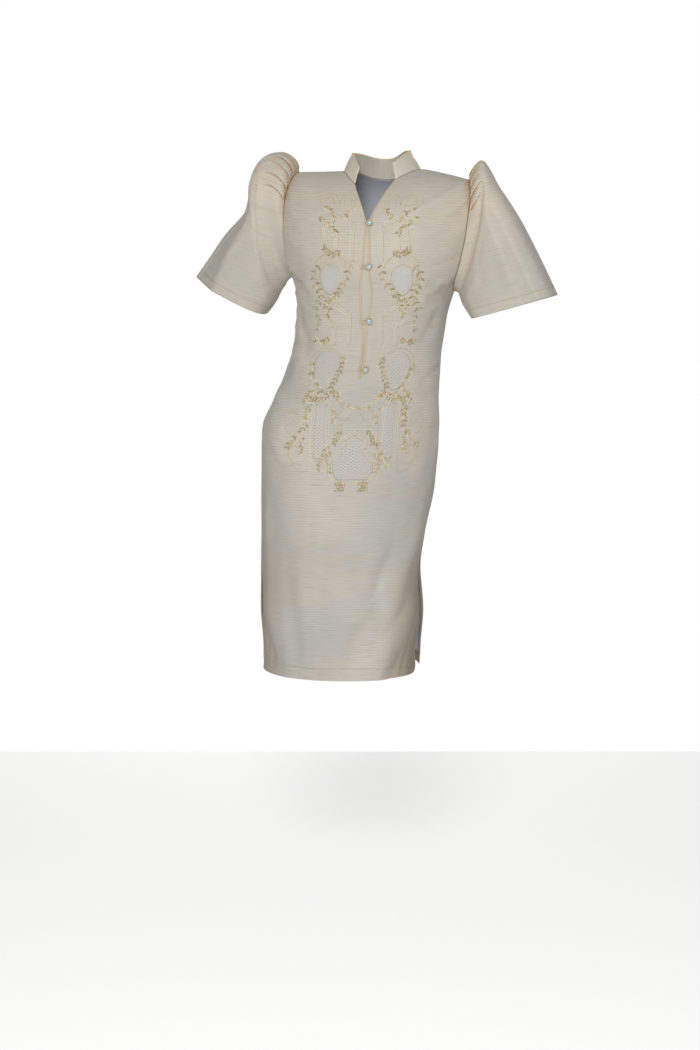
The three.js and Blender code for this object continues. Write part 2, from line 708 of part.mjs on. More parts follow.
const SLEEVE_ROWS = [0, 0.3, 0.8, 1.4, 2, 2.6, 3.3, 4, 5, 6, 7, 8, 9];

// Parts of the way round a sleeve: close together over the pleats and wider elsewhere.
function sleeveParts() {
  const plain = [];
  for (let j = 0; loopPart(j) < PLEAT_START - 0.01; j += 1) {
    plain.push(loopPart(j));
  }
  const parts = [...plain];
  for (let i = 0; i <= CAP_PLEATS * 4; i += 1) {
    parts.push(mix(PLEAT_START, PLEAT_END, i / (CAP_PLEATS * 4)));
  }
  for (let j = plain.length - 1; j > 0; j -= 1) {
    parts.push(1 - plain[j]);
  }
  return parts;
}

// Height of the knife pleats: a sharp fold, then a slope down to the next one.
function pleatHeight(part, at) {
  const place = ((part - PLEAT_START) / (PLEAT_END - PLEAT_START)) * CAP_PLEATS;
  if (place <= 0 || place >= CAP_PLEATS) {
    return 0;
  }
  const t = place - Math.floor(place);
  const slope = Math.max(0, 1 - t / 0.75);
  const start = step(0, 0.8, at);
  const fade = 1 - step(0.6, 9 * PLEAT_REACH + 0.5, at);
  return PLEAT_HEIGHT * slope * start * fade;
}

function sleeve(side, table) {
  const loop = armholeLoop(side);
  const parts = sleeveParts();
  const turnRound = side === "right" ? parts : [...parts].reverse();
  const rails = turnRound.map((part) => [
    onLoop(loop, part),
    ...table.map((ring) => ringPoint(side, ring, part)),
  ]);
  const surface = (column, at) => {
    const count = rails.length;
    const i = Math.floor(column);
    const low = along(rails[((i % count) + count) % count], at);
    const high = along(rails[(((i + 1) % count) + count) % count], at);
    return low.lerp(high, column - i);
  };
  const outer = [];
  const facing = [];
  SLEEVE_ROWS.forEach((at) => {
    turnRound.forEach((part, column) => {
      const normal = normalOf(surface, column, Math.max(at, 0.25), 0.5, 0.2).negate();
      const point = surface(column, at);
      if (at === 0) {
        const away = surface(column, 0.2).sub(point).normalize();
        point.addScaledVector(away, SEAM_GAP + 0.15);
      }
      outer.push(point.addScaledVector(normal, pleatHeight(part, at)));
      facing.push(normal);
    });
  });
  const quads = gridQuads(SLEEVE_ROWS.length, parts.length, true);
  const smooth = vertexNormals(outer, quads);
  // The edge at the armhole is cut slanting, so that its inner corner stays clear of the panels.
  const inner = outer.map((point, k) => {
    if (k >= parts.length) {
      return point.clone().addScaledVector(smooth[k], -CLOTH);
    }
    const away = outer[k + parts.length].clone().sub(point).normalize();
    return point.clone().addScaledVector(facing[k], -CLOTH).addScaledVector(away, 1.2);
  });
  return { outer, inner, quads, surface, count: parts.length };
}

function vertexNormals(points, quads) {
  const normals = points.map(() => new THREE.Vector3());
  for (const [a, b, c, d] of quads) {
    const face = points[c].clone().sub(points[a]).cross(points[d].clone().sub(points[b]));
    [a, b, c, d].forEach((k) => normals[k].add(face));
  }
  return normals.map((normal) => normal.normalize());
}

// The turned hem inside a cuff, of even height all round.
function sleeveHem(made) {
  const last = SLEEVE_ROWS[SLEEVE_ROWS.length - 1];
  const rows = [1, 0].map((share) => {
    const points = [];
    for (let i = 0; i < made.count; i += 1) {
      const reach = made.surface(i, last).distanceTo(made.surface(i, last - 1));
      const at = last - (share * SLEEVE_HEM_HEIGHT) / reach;
      const normal = normalOf(made.surface, i, Math.min(at, last - 0.2), 0.5, 0.2).negate();
      points.push({ point: made.surface(i, at), normal });
    }
    return points;
  });
  const all = rows.flat();
  const moved = (by) => all.map((v) => v.point.clone().addScaledVector(v.normal, -by));
  const start = CLOTH + LAYER_GAP + SLEEVE_HEM_EASE;
  const quads = gridQuads(2, made.count, true);
  return shell(moved(start), moved(start + TURNED_CLOTH), quads);
}

// ---------- collar ----------
function neckEdge() {
  const last = ROWS - 1;
  const columns = [];
  for (let i = SHOULDER_COLUMNS; i <= HALF_COLUMNS; i += 1) {
    columns.push(i);
  }
  const pick = (half, order) => order.map((i) => HALVES[half][last][i]);
  const down = [...columns].reverse();
  return [
    ...pick("frontRight", down),
    ...pick("backRight", columns.slice(1)),
    ...pick("backLeft", down.slice(1, -1)),
    ...pick("frontLeft", columns),
  ].map((place) => body(place.turn, place.way));
}

function collar() {
  const edge = neckEdge();
  const lengths = [0];
  for (let i = 1; i < edge.length; i += 1) {
    lengths.push(lengths[i - 1] + edge[i].distanceTo(edge[i - 1]));
  }
  const total = lengths[lengths.length - 1];
  const shape = lines(COLLAR, "way");
  const middle = new THREE.Vector3(0, 0, 0);
  const rows = [0, 0.35, 0.7, 1];
  const outer = [];
  for (const rise of rows) {
    edge.forEach((point, i) => {
      const row = shape((2 * lengths[i]) / total - 1);
      const before = edge[Math.max(i - 1, 0)];
      const after = edge[Math.min(i + 1, edge.length - 1)];
      const run = after.clone().sub(before).setZ(0).normalize();
      const inward = new THREE.Vector3(-run.y, run.x, 0);
      if (inward.dot(middle.clone().sub(point)) < 0) {
        inward.negate();
      }
      const lean = row.lean * (0.75 * rise + 0.25 * rise * rise) + SEAM_GAP + 0.1;
      outer.push(point.clone().addScaledVector(inward, lean).setZ(point.z + 0.2 + row.height * rise));
    });
  }
  const quads = gridQuads(rows.length, edge.length).map(([a, b, c, d]) => [d, c, b, a]);
  const normals = vertexNormals(outer, quads);
  const inner = outer.map((point, k) => {
    const flat = normals[k].clone();
    if (k < edge.length) {
      flat.setZ(0).normalize();
    }
    return point.clone().addScaledVector(flat, -COLLAR_CLOTH);
  });
  return shell(outer, inner, quads);
}

// ---------- buttons and their loops ----------
function edgePlace(x, z) {
  const turn = turnTo(x, z, false);
  return { turn, way: wayTo(turn, z) };
}

// A domed pearl button with a flat back, standing just off the cloth.
function pearlButton(spec) {
  const r = BUTTON_WIDTH / 2;
  const h = BUTTON_HEIGHT;
  const profile = [
    [0, 0],
    [r * 0.72, 0],
    [r * 0.93, h * 0.16],
    [r, h * 0.38],
    [r * 0.93, h * 0.64],
    [r * 0.7, h * 0.86],
    [r * 0.36, h * 0.97],
    [0, h],
  ];
  const geometry = new THREE.LatheGeometry(profile.map(([x, y]) => new THREE.Vector2(x, y)), 14);
  const place = edgePlace(gapeAt(spec.z) + spec.fromEdge, spec.z);
  const normal = bodyNormal(place);
  const turnTowards = new THREE.Quaternion().setFromUnitVectors(new THREE.Vector3(0, 1, 0), normal);
  const middle = body(place.turn, place.way, LAYER_GAP + 0.35);
  geometry.applyQuaternion(turnTowards);
  geometry.translate(middle.x, middle.y, middle.z);
  return weld(geometry);
}

// A closed tube of even sides along points.
function cord(points, radius, sides) {
  const outer = [];
  points.forEach((point, i) => {
    const before = points[Math.max(i - 1, 0)];
    const after = points[Math.min(i + 1, points.length - 1)];
    const run = after.point.clone().sub(before.point).normalize();
    const up = point.normal.clone();
    const sideways = run.clone().cross(up).normalize();
    const level = sideways.clone().cross(run).normalize();
    for (let k = 0; k < sides; k += 1) {
      const angle = (2 * Math.PI * k) / sides;
      outer.push(
        point.point
          .clone()
          .addScaledVector(sideways, radius * Math.cos(angle))
          .addScaledVector(level, radius * Math.sin(angle)),
      );
    }
  });
  const index = [];
  for (const [a, b, c, d] of gridQuads(points.length, sides, true)) {
    index.push(a, c, b, a, d, c);
  }
  const start = outer.length;
  outer.push(points[0].point.clone(), points[points.length - 1].point.clone());
  const lastRing = (points.length - 1) * sides;
  for (let k = 0; k < sides; k += 1) {
    const next = (k + 1) % sides;
    index.push(start, k, next);
    index.push(start + 1, lastRing + next, lastRing + k);
  }
  const geometry = new THREE.BufferGeometry();
  geometry.setAttribute(
    "position",
    new THREE.Float32BufferAttribute(outer.flatMap((v) => [v.x, v.y, v.z]), 3),
  );
  geometry.setIndex(index);
  return geometry;
}

// A button's loop: from the wearer's right front edge, round the button and back.
function buttonLoop(spec) {
  const half = gapeAt(spec.z);
  const centre = half + spec.fromEdge;
  const reach = BUTTON_WIDTH / 2 + LOOP_CORD / 2 + 0.4;
  const path = [
    [-half - 4.5, 2.2],
    [-half - 1.5, 2.3],
    [Math.min(-half + 1.5, centre - reach * 0.98), 2.6],
  ];
  for (let i = 0; i <= 10; i += 1) {
    const angle = (150 - 30 * i) * DEGREE;
    path.push([centre + reach * Math.cos(angle), reach * Math.sin(angle)]);
  }
  path.push(...path.slice(0, 3).reverse().map(([x, z]) => [x, -z]));
  const points = path.map(([x, z]) => {
    const place = edgePlace(x, spec.z + z);
    const outward = LAYER_GAP + LOOP_CORD / 2 + 0.2;
    return { point: body(place.turn, place.way, outward), normal: bodyNormal(place) };
  });
  return cord(points, LOOP_CORD / 2, 6);
}

// Joins equal corners and drops triangles without area.
function weld(geometry) {
  const position = geometry.getAttribute("position");
  const order = geometry.getIndex();
  const seen = new Map();
  const points = [];
  const name = [];
  for (let i = 0; i < position.count; i += 1) {
    const v = new THREE.Vector3().fromBufferAttribute(position, i);
    const key = [v.x, v.y, v.z].map((value) => Math.round(value * 1000)).join();
    if (!seen.has(key)) {
      seen.set(key, points.length);
      points.push(v);
    }
    name.push(seen.get(key));
  }
  const index = [];
  for (let i = 0; i < order.count; i += 3) {
    const [a, b, c] = [0, 1, 2].map((k) => name[order.getX(i + k)]);
    if (a !== b && b !== c && c !== a) {
      index.push(a, b, c);
    }
  }
  const made = new THREE.BufferGeometry();
  made.setAttribute(
    "position",
    new THREE.Float32BufferAttribute(points.flatMap((v) => [v.x, v.y, v.z]), 3),
  );
  made.setIndex(index);
  return made;
}

// ---------- the dress ----------
const COLOURS = {
  cloth: { color: "#c9c1b0", roughness: 0.55, metalness: 0 },
  turned: { color: "#a9a08d", roughness: 0.6, metalness: 0 },
  pearl: { color: "#eef0ea", roughness: 0.18, metalness: 0 },
  cord: { color: "#ddd3bb", roughness: 0.6, metalness: 0 },
};

const dress = new THREE.Group();
dress.name = "barong_dress";

function add(name, geometry, look) {
  geometry.computeVertexNormals();
  const mesh = new THREE.Mesh(geometry, new THREE.MeshStandardMaterial(COLOURS[look]));
  mesh.name = name;
  dress.add(mesh);
}

const BEHIND = -(CLOTH + LAYER_GAP);
const front = frontPanel();
const back = backPanel();
add("front", bodyWall(front.places, front.quads, 0, CLOTH), "cloth");
add("back", bodyWall(back.places, back.quads, 0, CLOTH), "cloth");

const sleeves = { right: sleeve("right", SLEEVE_RIGHT), left: sleeve("left", SLEEVE_LEFT) };
for (const side of ["right", "left"]) {
  const made = sleeves[side];
  add(`sleeve_${side}`, shell(made.outer, made.inner, made.quads), "cloth");
  add(`sleeve_hem_${side}`, sleeveHem(made), "turned");
}
add("collar", collar(), "cloth");

const stand = buttonStand();
add("button_stand", bodyWall(stand.places, stand.quads, BEHIND - 0.15, STAND_CLOTH), "cloth");

for (const [name, rows] of [["front_hem", frontRows()], ["back_hem", back.rows]]) {
  const band = hemBand(rows);
  add(name, bodyWall(band.places, band.quads, BEHIND, TURNED_CLOTH), "turned");
}
for (const face of ["front", "back"]) {
  for (const side of ["right", "left"]) {
    const mirrored = (face === "front") === (side === "left");
    const strip = slitFacing(HALVES[face + LABEL[side]], mirrored);
    add(
      `slit_facing_${face}_${side}`,
      bodyWall(strip.places, strip.quads, BEHIND, TURNED_CLOTH),
      "turned",
    );
  }
}
for (const spec of BUTTONS) {
  add(`button_${spec.name}`, pearlButton(spec), "pearl");
  add(`loop_${spec.name}`, buttonLoop(spec), "cord");
}

export default dress;
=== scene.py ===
"""Barong dress in stiff ecru jusi cloth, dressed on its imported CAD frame.

The cloth follows the tables of the CAD solids, with fine creases, lapped pleats and sewing added
and a crisper fold down the right sleeve. Tables are in millimetres and meshes are in metres. The
origin is the middle of the neck base, +Z is up and the front faces -Y. Turns round the body are
in degrees, 0 at the middle of the front and +90 at the wearer's left side. A way is walked down
the cloth from the shoulder line.
"""

import math

import bpy
import numpy as np
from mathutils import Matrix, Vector


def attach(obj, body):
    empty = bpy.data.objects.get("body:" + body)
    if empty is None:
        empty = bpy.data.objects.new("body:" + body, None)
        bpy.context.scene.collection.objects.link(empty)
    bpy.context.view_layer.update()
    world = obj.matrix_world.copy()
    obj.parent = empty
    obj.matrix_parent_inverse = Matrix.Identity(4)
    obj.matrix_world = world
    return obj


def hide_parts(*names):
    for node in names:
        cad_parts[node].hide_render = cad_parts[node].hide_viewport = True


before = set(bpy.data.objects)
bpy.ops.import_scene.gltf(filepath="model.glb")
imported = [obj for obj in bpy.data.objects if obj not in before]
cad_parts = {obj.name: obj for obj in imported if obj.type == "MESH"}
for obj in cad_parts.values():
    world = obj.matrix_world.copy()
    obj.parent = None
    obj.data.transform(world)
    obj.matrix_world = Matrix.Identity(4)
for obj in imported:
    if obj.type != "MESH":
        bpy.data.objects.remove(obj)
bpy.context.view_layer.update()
RANDOM = np.random.default_rng(1907)

# ---------- driving sizes, millimetres ----------
MM = 0.001  # a millimetre in metres
CLOTH = 0.9
COLLAR_CLOTH = 2.0
TURNED_CLOTH = 0.8
STAND_CLOTH = 0.9
SEAM_GAP = 0.3
LAYER_GAP = 0.5
HEM_LEVEL = -876
HEM_HEIGHT = 17
FRONT_HEM_DIP, BACK_HEM_DIP = 4.5, 1.5
CORNER_RISE, CORNER_WIDE = 7, 20
SLEEVE_HEM_HEIGHT = 16
SLIT_TOP = -690
ARM_FOOT = -196
V_BOTTOM = -90
PLACKET_END = -352
SHOULDER_ROUND = 120
SECTION_POWER = 2.3
DEGREE_MM = 2.3  # the way round the body for each degree of turn
SLEEVE_ROUND = 470  # the way round a sleeve
RING_STEP = 36  # the way between two rings of a sleeve
CUFF = 9  # the cuff's place along the rings, counted from the armhole at 0
BUTTON_WIDTH = 9.5
BUTTON_HEIGHT = 5.2
PEARL_DOME = 0.66  # a pearl's height as a share of its width, before its back is cut flat
PEARL_BACK = 0.36  # the share of its height between its widest ring and its flat back
PEARL_LIFT = 0.35  # from the front's edge out to its back
LOOP_ROUND = 0.9  # how far a loop runs outside its pearl
LOOP_THREAD = 0.3  # each of a loop's two threads: its radius, and its way off the loop's middle
LOOP_LIFT = 0.55
PIPING = 1.5
COLLAR_PIPING = 2.5
STITCH = 0.34
STITCH_LIFT = 0.1
PREFIX = "dress_"


def columns(names, text):
    """A short table as {column name: array}."""
    rows = [[float(v) for v in row.split()] for row in text.strip().splitlines()]
    return dict(zip(names.split(), np.array(rows).T))


# Level sections of the body: half width, depth to the front and back, shift to her left, turn.
SECTIONS = columns("z half front back shift turn", """
    -885 141.5 111 104 -75   8
    -840 142.5 110 106 -73.5 8.5
    -775 147   109 109 -72.5 10
    -700 144   108 113 -74   12
    -640 147.5 108 116 -69   13.5
    -540 154   107 121 -61.5 15.5
    -446 156   105 116 -57   16
    -391 144   102 101 -46   13
    -354 137   101 91  -37   10.5
    -300 130.5 104 85  -26.5 8.5
    -249 131   111 90  -19   6
    -210 137   116 98  -14   4.5
    -180 148   116 103 -12   3
    -145 163   113 106 -9    2
    -95  173   107 106 -6    0.5
    -45  176   104 104 -3    0
    20   172   104 98  0     0
""")

# The line along the top of the shoulders.
SHOULDER_LINE = columns("across z y", """
    -200 -22  9
    -167 -7   8
    -146 -1.5 7
    -107 -1   4
    -69  0    2
    0    1    0
    67   3    2
    107  -4   4
    146  -14  7
    167  -22  8
    200  -40  9
""")

# The armhole: the part of the way round from the underarm to the shoulder tip, and the turn on the
# front and the back, counted from the side seam.
ARMHOLE = columns("part front back", """
    0     0    0
    0.055 7    7
    0.113 15   14
    0.178 20.5 19
    0.25  23   21
    0.352 24.5 23
    0.42  28   27.5
    0.5   33   33
""")
UNDERARM = {"right": -183, "left": -203}

# Half the width that stands open between the two front edges below the V neck.
PLACKET_GAPE = columns("z half", """
    -360 0.6
    -330 1.4
    -290 1.9
    -268 3.2
    -248 5.6
    -222 8.2
    -196 8.8
    -165 5.2
    -140 4.2
    -108 2.8
    -90  1.6
""")
NOTCH = {"right": (36, -21), "left": (35, -14)}
NECK_POINT = {"right": 69, "left": 67}
BACK_NECK_Z = -15

# How far each side slit's edges have swung away from the side line.
SLIT_OPENING = columns("z frontLeft frontRight backLeft backRight", """
    -885 33 5  2  4
    -860 32 7  0  4
    -820 27 10 -2 3
    -780 20 10 -3 3
    -740 9  6  -1 2
    -700 1  1  0  0
    -685 0  0  0  0
""")

# Large folds: a soft ridge (outward) or trough (negative) between two places.
FOLDS = columns("turn1 z1 turn2 z2 width out", """
    58  -22  20  -82  17 3.2
    66  -60  34  -120 20 -2.4
    -60 -30  -28 -95  18 2.2
    82  -205 42  -196 16 -4.0
    -84 -190 -46 -176 16 -3.6
    -80 -240 -50 -222 18 2.2
    -88 -335 -38 -402 20 -4.4
    -86 -372 -46 -440 20 3.2
    86  -330 44  -372 20 -3.4
    84  -470 40  -520 26 2.6
    40  -752 4   -866 22 -4.6
    62  -742 26  -880 22 5.2
    50  -830 38  -886 15 -5.2
    -76 -750 -48 -870 18 -5.2
    -58 -720 -34 -884 26 3.2
    -40 -560 -28 -800 34 2.4
    18  -520 10  -820 36 2.2
    128 -40  152 -130 20 2.6
    232 -40  210 -120 20 2.4
    98  -208 138 -190 17 -3.6
    262 -192 224 -180 17 -3.4
    118 -300 166 -330 20 -3.6
    244 -310 200 -350 20 -3.8
    130 -352 176 -372 18 2.8
    150 -610 140 -880 30 -4.2
    186 -640 178 -880 34 3.8
    222 -600 232 -880 30 -4.4
    112 -700 120 -884 20 3.4
""")

# Creases that the solids leave out, in the same columns: the drag from the shoulders, the pulls at
# the armpits, the waist, the placket's strain at its buttons, the lower skirt, and like ones round
# the back. The deepest lie beside the slits.
CREASES = columns("turn1 z1 turn2 z2 width out", """
    60    -14 26    -62 6  2.4
    52    -34 24    -92 7  -1.9
    63    -44 40    -84 5  1.6
    -62   -20 -44   -52 6  -1.6
    -50   -12 -34   -40 5  1.4
    -57   -60 -38  -104 8  1.3
    76   -196 50   -182 4  2.4
    78   -212 38   -210 4  -2.1
    74   -226 48   -232 5  1.8
    80   -244 52   -256 6  -1.4
    -76  -176 -54  -162 4  2.6
    -80  -192 -48  -188 4  -2.2
    -82  -208 -56  -210 5  1.9
    -84  -226 -50  -238 6  -1.6
    -84  -262 -58  -282 7  1.3
    -86  -318 -60  -338 6  -1.9
    -88  -350 -52  -374 7  2.2
    -82  -392 -48  -424 8  -1.9
    -74  -416 -40  -470 9  1.6
    84   -312 58   -326 6  -1.6
    88   -342 56   -362 7  1.9
    82   -366 50   -394 8  -1.6
    10   -160 26   -176 5  1.4
    10   -250 28   -262 5  -1.3
    -8   -252 -24  -262 5  1.3
    -6   -336 -22  -352 5  -1.3
    8    -338 26   -352 5  1.1
    34   -700 6    -788 7  2.2
    52   -736 18   -838 8  -2.2
    66   -772 44   -876 6  1.6
    58   -790 50   -884 5  -2.6
    36   -812 28   -884 7  1.9
    12   -776 4    -884 11 -1.8
    -70  -726 -62  -842 5  -3.5
    -64  -742 -56  -872 6  2.2
    -44  -800 -40  -884 9  -1.9
    -24  -700 -20  -880 12 1.6
    -74  -520 -62  -640 10 1.4
    -30  -470 -20  -560 12 -1.3
    60   -540 50   -640 12 1.4
    104  -190 128  -178 4  2.2
    100  -214 136  -206 5  -1.9
    104  -236 130  -246 6  1.6
    258  -178 232  -166 4  2.2
    262  -204 226  -196 5  -1.9
    256  -224 232  -236 6  1.4
    96   -330 140  -346 7  2.1
    100  -372 146  -398 8  -1.8
    264  -322 216  -340 7  2.1
    260  -366 214  -392 8  -1.8
    152  -350 208  -356 7  -1.9
    156  -378 202  -386 8  1.4
    150   -24 166   -76 7  1.4
    212   -24 196   -70 7  1.4
    128  -720 124  -880 8  -2.2
    166  -700 162  -884 10 2.1
    202  -690 206  -884 9  -2.2
    240  -720 246  -884 8  2.1
    86   -585 80   -884 24 -8.5
    60   -600 24   -850 19 6.0
    36   -640 4    -840 18 -5.4
    -86  -690 -83  -884 22 -5.0
    -66  -560 -52  -820 15 5.0
    -42  -620 -24  -880 18 -5.0
    -18  -560 -14  -700 16 2.4
    74   -168 36   -222 11 3.4
    70   -140 40   -160 10 -2.4
    -74  -150 -36  -206 11 3.4
    -70  -122 -42  -150 10 -2.2
    66   -236 42   -300 13 -3.0
    -68  -236 -44  -300 13 -3.0
    -84  -300 -46  -322 8  2.6
    84   -318 48   -336 8  2.4
    -72  -440 -46  -500 14 3.0
    -80  -425 -48  -520 17 -2.2
    72   -420 50   -560 18 -2.2
    -86  -292 -40  -302 14 -2.4
    86   -296 50   -290 14 -2.2
    2    -560 -4   -800 30 1.6
    34   -600 22   -760 12 -1.4
    -34  -560 -30  -700 14 -1.4
    120  -560 132  -860 20 2.2
    232  -540 224  -860 20 -2.2
""")

# Stand collar: the way round from the right front end (-1) to the left front end (1).
COLLAR = columns("way height lean", """
    -1    27 9
    -0.62 29 17
    -0.3  32 14
    0     35 7
    0.3   34 15
    0.62  30 20
    1     27 9
""")

# Sleeve rings from the cap to the cuff: the outer and the inner edge, depth, squareness, and how
# far out the front face stays flat.
SLEEVES = {
    "right": columns("outX outZ inX inZ y front back bend bow edge", """
        -160 19   -166 -186 -3 44 43 2.1 17 1
        -183 31.5 -172 -192 -1 46 47 2.1 16 1
        -212 24   -177 -200 0  50 52 2.2 12 1
        -230 -3   -183 -208 -1 52 54 2.3 8 0.96
        -233 -38  -188 -217 -2 53 54 2.5 4 0.89
        -249 -72  -193 -226 -3 53 54 2.7 0 0.82
        -283 -109 -199 -235 -4 54 53 2.8 0 0.76
        -311 -148 -204 -242 -5 55 52 2.9 0 0.71
        -337 -184 -209 -248 -6 56 51 2.9 0 0.66
    """),
    "left": columns("outX outZ inX inZ y front back bend bow edge", """
        160   3    133   -207 1   46 47 2.1 21 1
        171.5 17   135   -212 2   46 47 2.1 21 1
        184   6    137.5 -217 0   51 52 2.2 17 1
        200   -21  140   -222 -2  53 54 2.3 13 1
        219   -48  143   -227 -4  55 55 2.5 9 1
        242   -83  147   -232 -6  56 54 2.6 5 1
        264   -123 151.5 -238 -8  57 53 2.7 2 1
        286   -165 156   -244 -10 58 52 2.8 0 1
        307   -208 161   -250 -12 59 51 2.8 0 1
    """),
}

# How round the fold is that the edge column makes: 0 is a knife edge.
CREASE_SOFTNESS = 0.03
# The direction across each sleeve's slubs, which lie nearly along the cuff.
SLEEVE_GRAIN = {"right": (0.344, -0.23, 1.0), "left": (-0.235, 0.0, 1.0)}

# Knife pleats of a cap: the parts of the way round between which they lie, how high each stands,
# how far its fold laps over its neighbour and where it runs out, as a place along the rings.
CAP_PLEATS = 9
PLEAT_START = 0.3335
PLEAT_END = 0.6665
PLEATS = {
    "right": columns("high lap reach", """
        4.4 0.42 3.1
        4.6 0.46 3.4
        4.2 0.40 2.9
        4.7 0.46 3.3
        4.4 0.40 3.0
        4.6 0.44 3.2
        4.3 0.42 3.3
        4.6 0.44 2.9
        4.3 0.40 3.2
    """),
    "left": columns("high lap reach", """
        4.2 0.42 2.5
        4.5 0.44 2.8
        4.2 0.42 2.4
        4.6 0.44 3.0
        4.4 0.40 2.7
        4.6 0.42 2.9
        4.2 0.40 2.6
        4.5 0.44 2.9
        4.2 0.42 2.7
    """),
}

# Creases of a sleeve: two places given by the part round and the place along the rings.
SLEEVE_CREASES = {
    "right": columns("part1 at1 part2 at2 width out", """
        0.40 3.4  0.42 9.6  5  1.7
        0.36 2.8  0.24 3.6  5  1.5
        0.33 3.0  0.22 3.9  5  -1.1
        0.10 5.2  0.20 7.4  11 -1.4
        0.06 4.0  0.14 6.4  7  1.1
        0.28 5.4  0.30 9.4  14 -1.2
        0.50 4.6  0.52 9.4  15 -1.3
        0.60 3.4  0.60 9.5  6  1.5
        0.72 4.0  0.78 7.6  10 -1.3
        0.90 3.2  0.86 6.6  7  1.1
    """),
    "left": columns("part1 at1 part2 at2 width out", """
        0.30 2.9  0.27 9.6  8  2.2
        0.34 3.2  0.33 9.4  9  -1.5
        0.24 3.0  0.20 6.8  9  -1.3
        0.12 4.6  0.13 9.2  12 1.3
        0.06 3.6  0.09 7.2  7  -1.1
        0.40 4.4  0.41 9.4  13 1.2
        0.52 3.2  0.52 9.4  12 -1.4
        0.60 3.6  0.58 9.5  7  1.6
        0.72 3.8  0.76 8.4  10 -1.4
        0.90 3.4  0.88 7.0  8  1.1
    """),
}

# The pearls: each one's height and its way in from the wearer's left front edge.
BUTTONS = columns("number z fromEdge", """
    1 -87  2.6
    2 -160 1.2
    3 -252 2.8
    4 -335 6.2
""")

SIDE = {"right": -1, "left": 1}


# ---------- embroidery, one half of it, mirrored about the front's middle line ----------
# Each line's number, and its points: across from the middle line, and height.
LINES = {}
for row in """
    1  84 -60  89 -51  84 -42  73 -38  62 -42  55 -50  53 -58
    2  53 -58  50 -47  43 -39  34 -38  27 -45  25 -57  30 -67
    3  79 -56  80 -49  73 -44  66 -48  62 -55
    4  46 -56  43 -48  37 -45  32 -50  32 -58
    5  82 -60  70 -65  61 -73  57 -84
    6  29 -62  36 -70  40 -80
    7  88 -78  74 -85  62 -94  54 -103
    10 57 -76  25 -91  26 -150
    11 77 -113  76 -93  52 -108  54 -132
    12 44 -134  58 -139  73 -131
    20 88 -168  89 -154  78 -143  62 -139  46 -143  36 -152  31 -161
    21 27 -152  29 -168  35 -186  45 -201  56 -214
    22 79 -157  90 -170  91 -184  82 -199  79 -213  87 -230
    23 42 -204  54 -209  66 -219  70 -231
    24 70 -218  61 -232  66 -246
    30 56 -224  27 -241  27 -292
    31 77 -246  53 -261  53 -293
    32 86 -240  80 -254  86 -270
    33 60 -280  71 -289  85 -285
    40 85 -338  88 -321  80 -306  64 -298  48 -302  36 -313
    41 33 -310  35 -330  42 -350  47 -366  38 -380
    42 86 -322  85 -342  76 -360  66 -374  74 -388
    43 38 -368  33 -384  21 -397  2 -404
    44 50 -376  62 -386  80 -386
    50 46 -472  48 -396  57 -382  73 -394  72 -488  50 -508
    60 106 -423  101 -429  96 -421  102 -411  113 -411  119 -423  117 -439  108 -450
    61 99 -478  93 -482  90 -474  97 -467  108 -472  110 -485  101 -497  86 -500
    62 108 -504  102 -499  98 -507  88 -513  76 -510
    63 80 -398  84 -414  85 -432  94 -447  106 -458  113 -474
    70 0 -442  20 -456  17 -472  39 -494  38 -514  29 -526
    71 22 -446  33 -455  44 -466  49 -482  44 -498  42 -514
    72 8 -411  16 -421  27 -420  30 -410  24 -405
    73 34 -436  26 -430  20 -438  27 -446
    74 36 -478  56 -490  60 -504
    80 20 -524  20 -534  20 -543
    81 11 -528  15 -534  15 -541
    82 29 -528  25 -534  25 -541
    90 76 -392  84 -404  82 -420
    91 44 -400  36 -412  38 -428
    92 74 -372  86 -378  92 -390
    93 30 -382  40 -374  50 -376
    94 20 -440  30 -448  33 -462
    95 82 -452  90 -462  88 -476
""".strip().splitlines():
    number, *places = map(float, row.split())
    LINES[number] = np.array(places).reshape(-1, 2)

FRAME, SCROLL = 0, 1
FRAME_GAP = 5.0  # between the two cords of a frame
FRAME_EDGE = 0.82 * FRAME_GAP  # the thin cord beside them
FRAME_CORD, SCROLL_CORD, STEM_CORD = 0.58, 0.55, 0.42  # radii
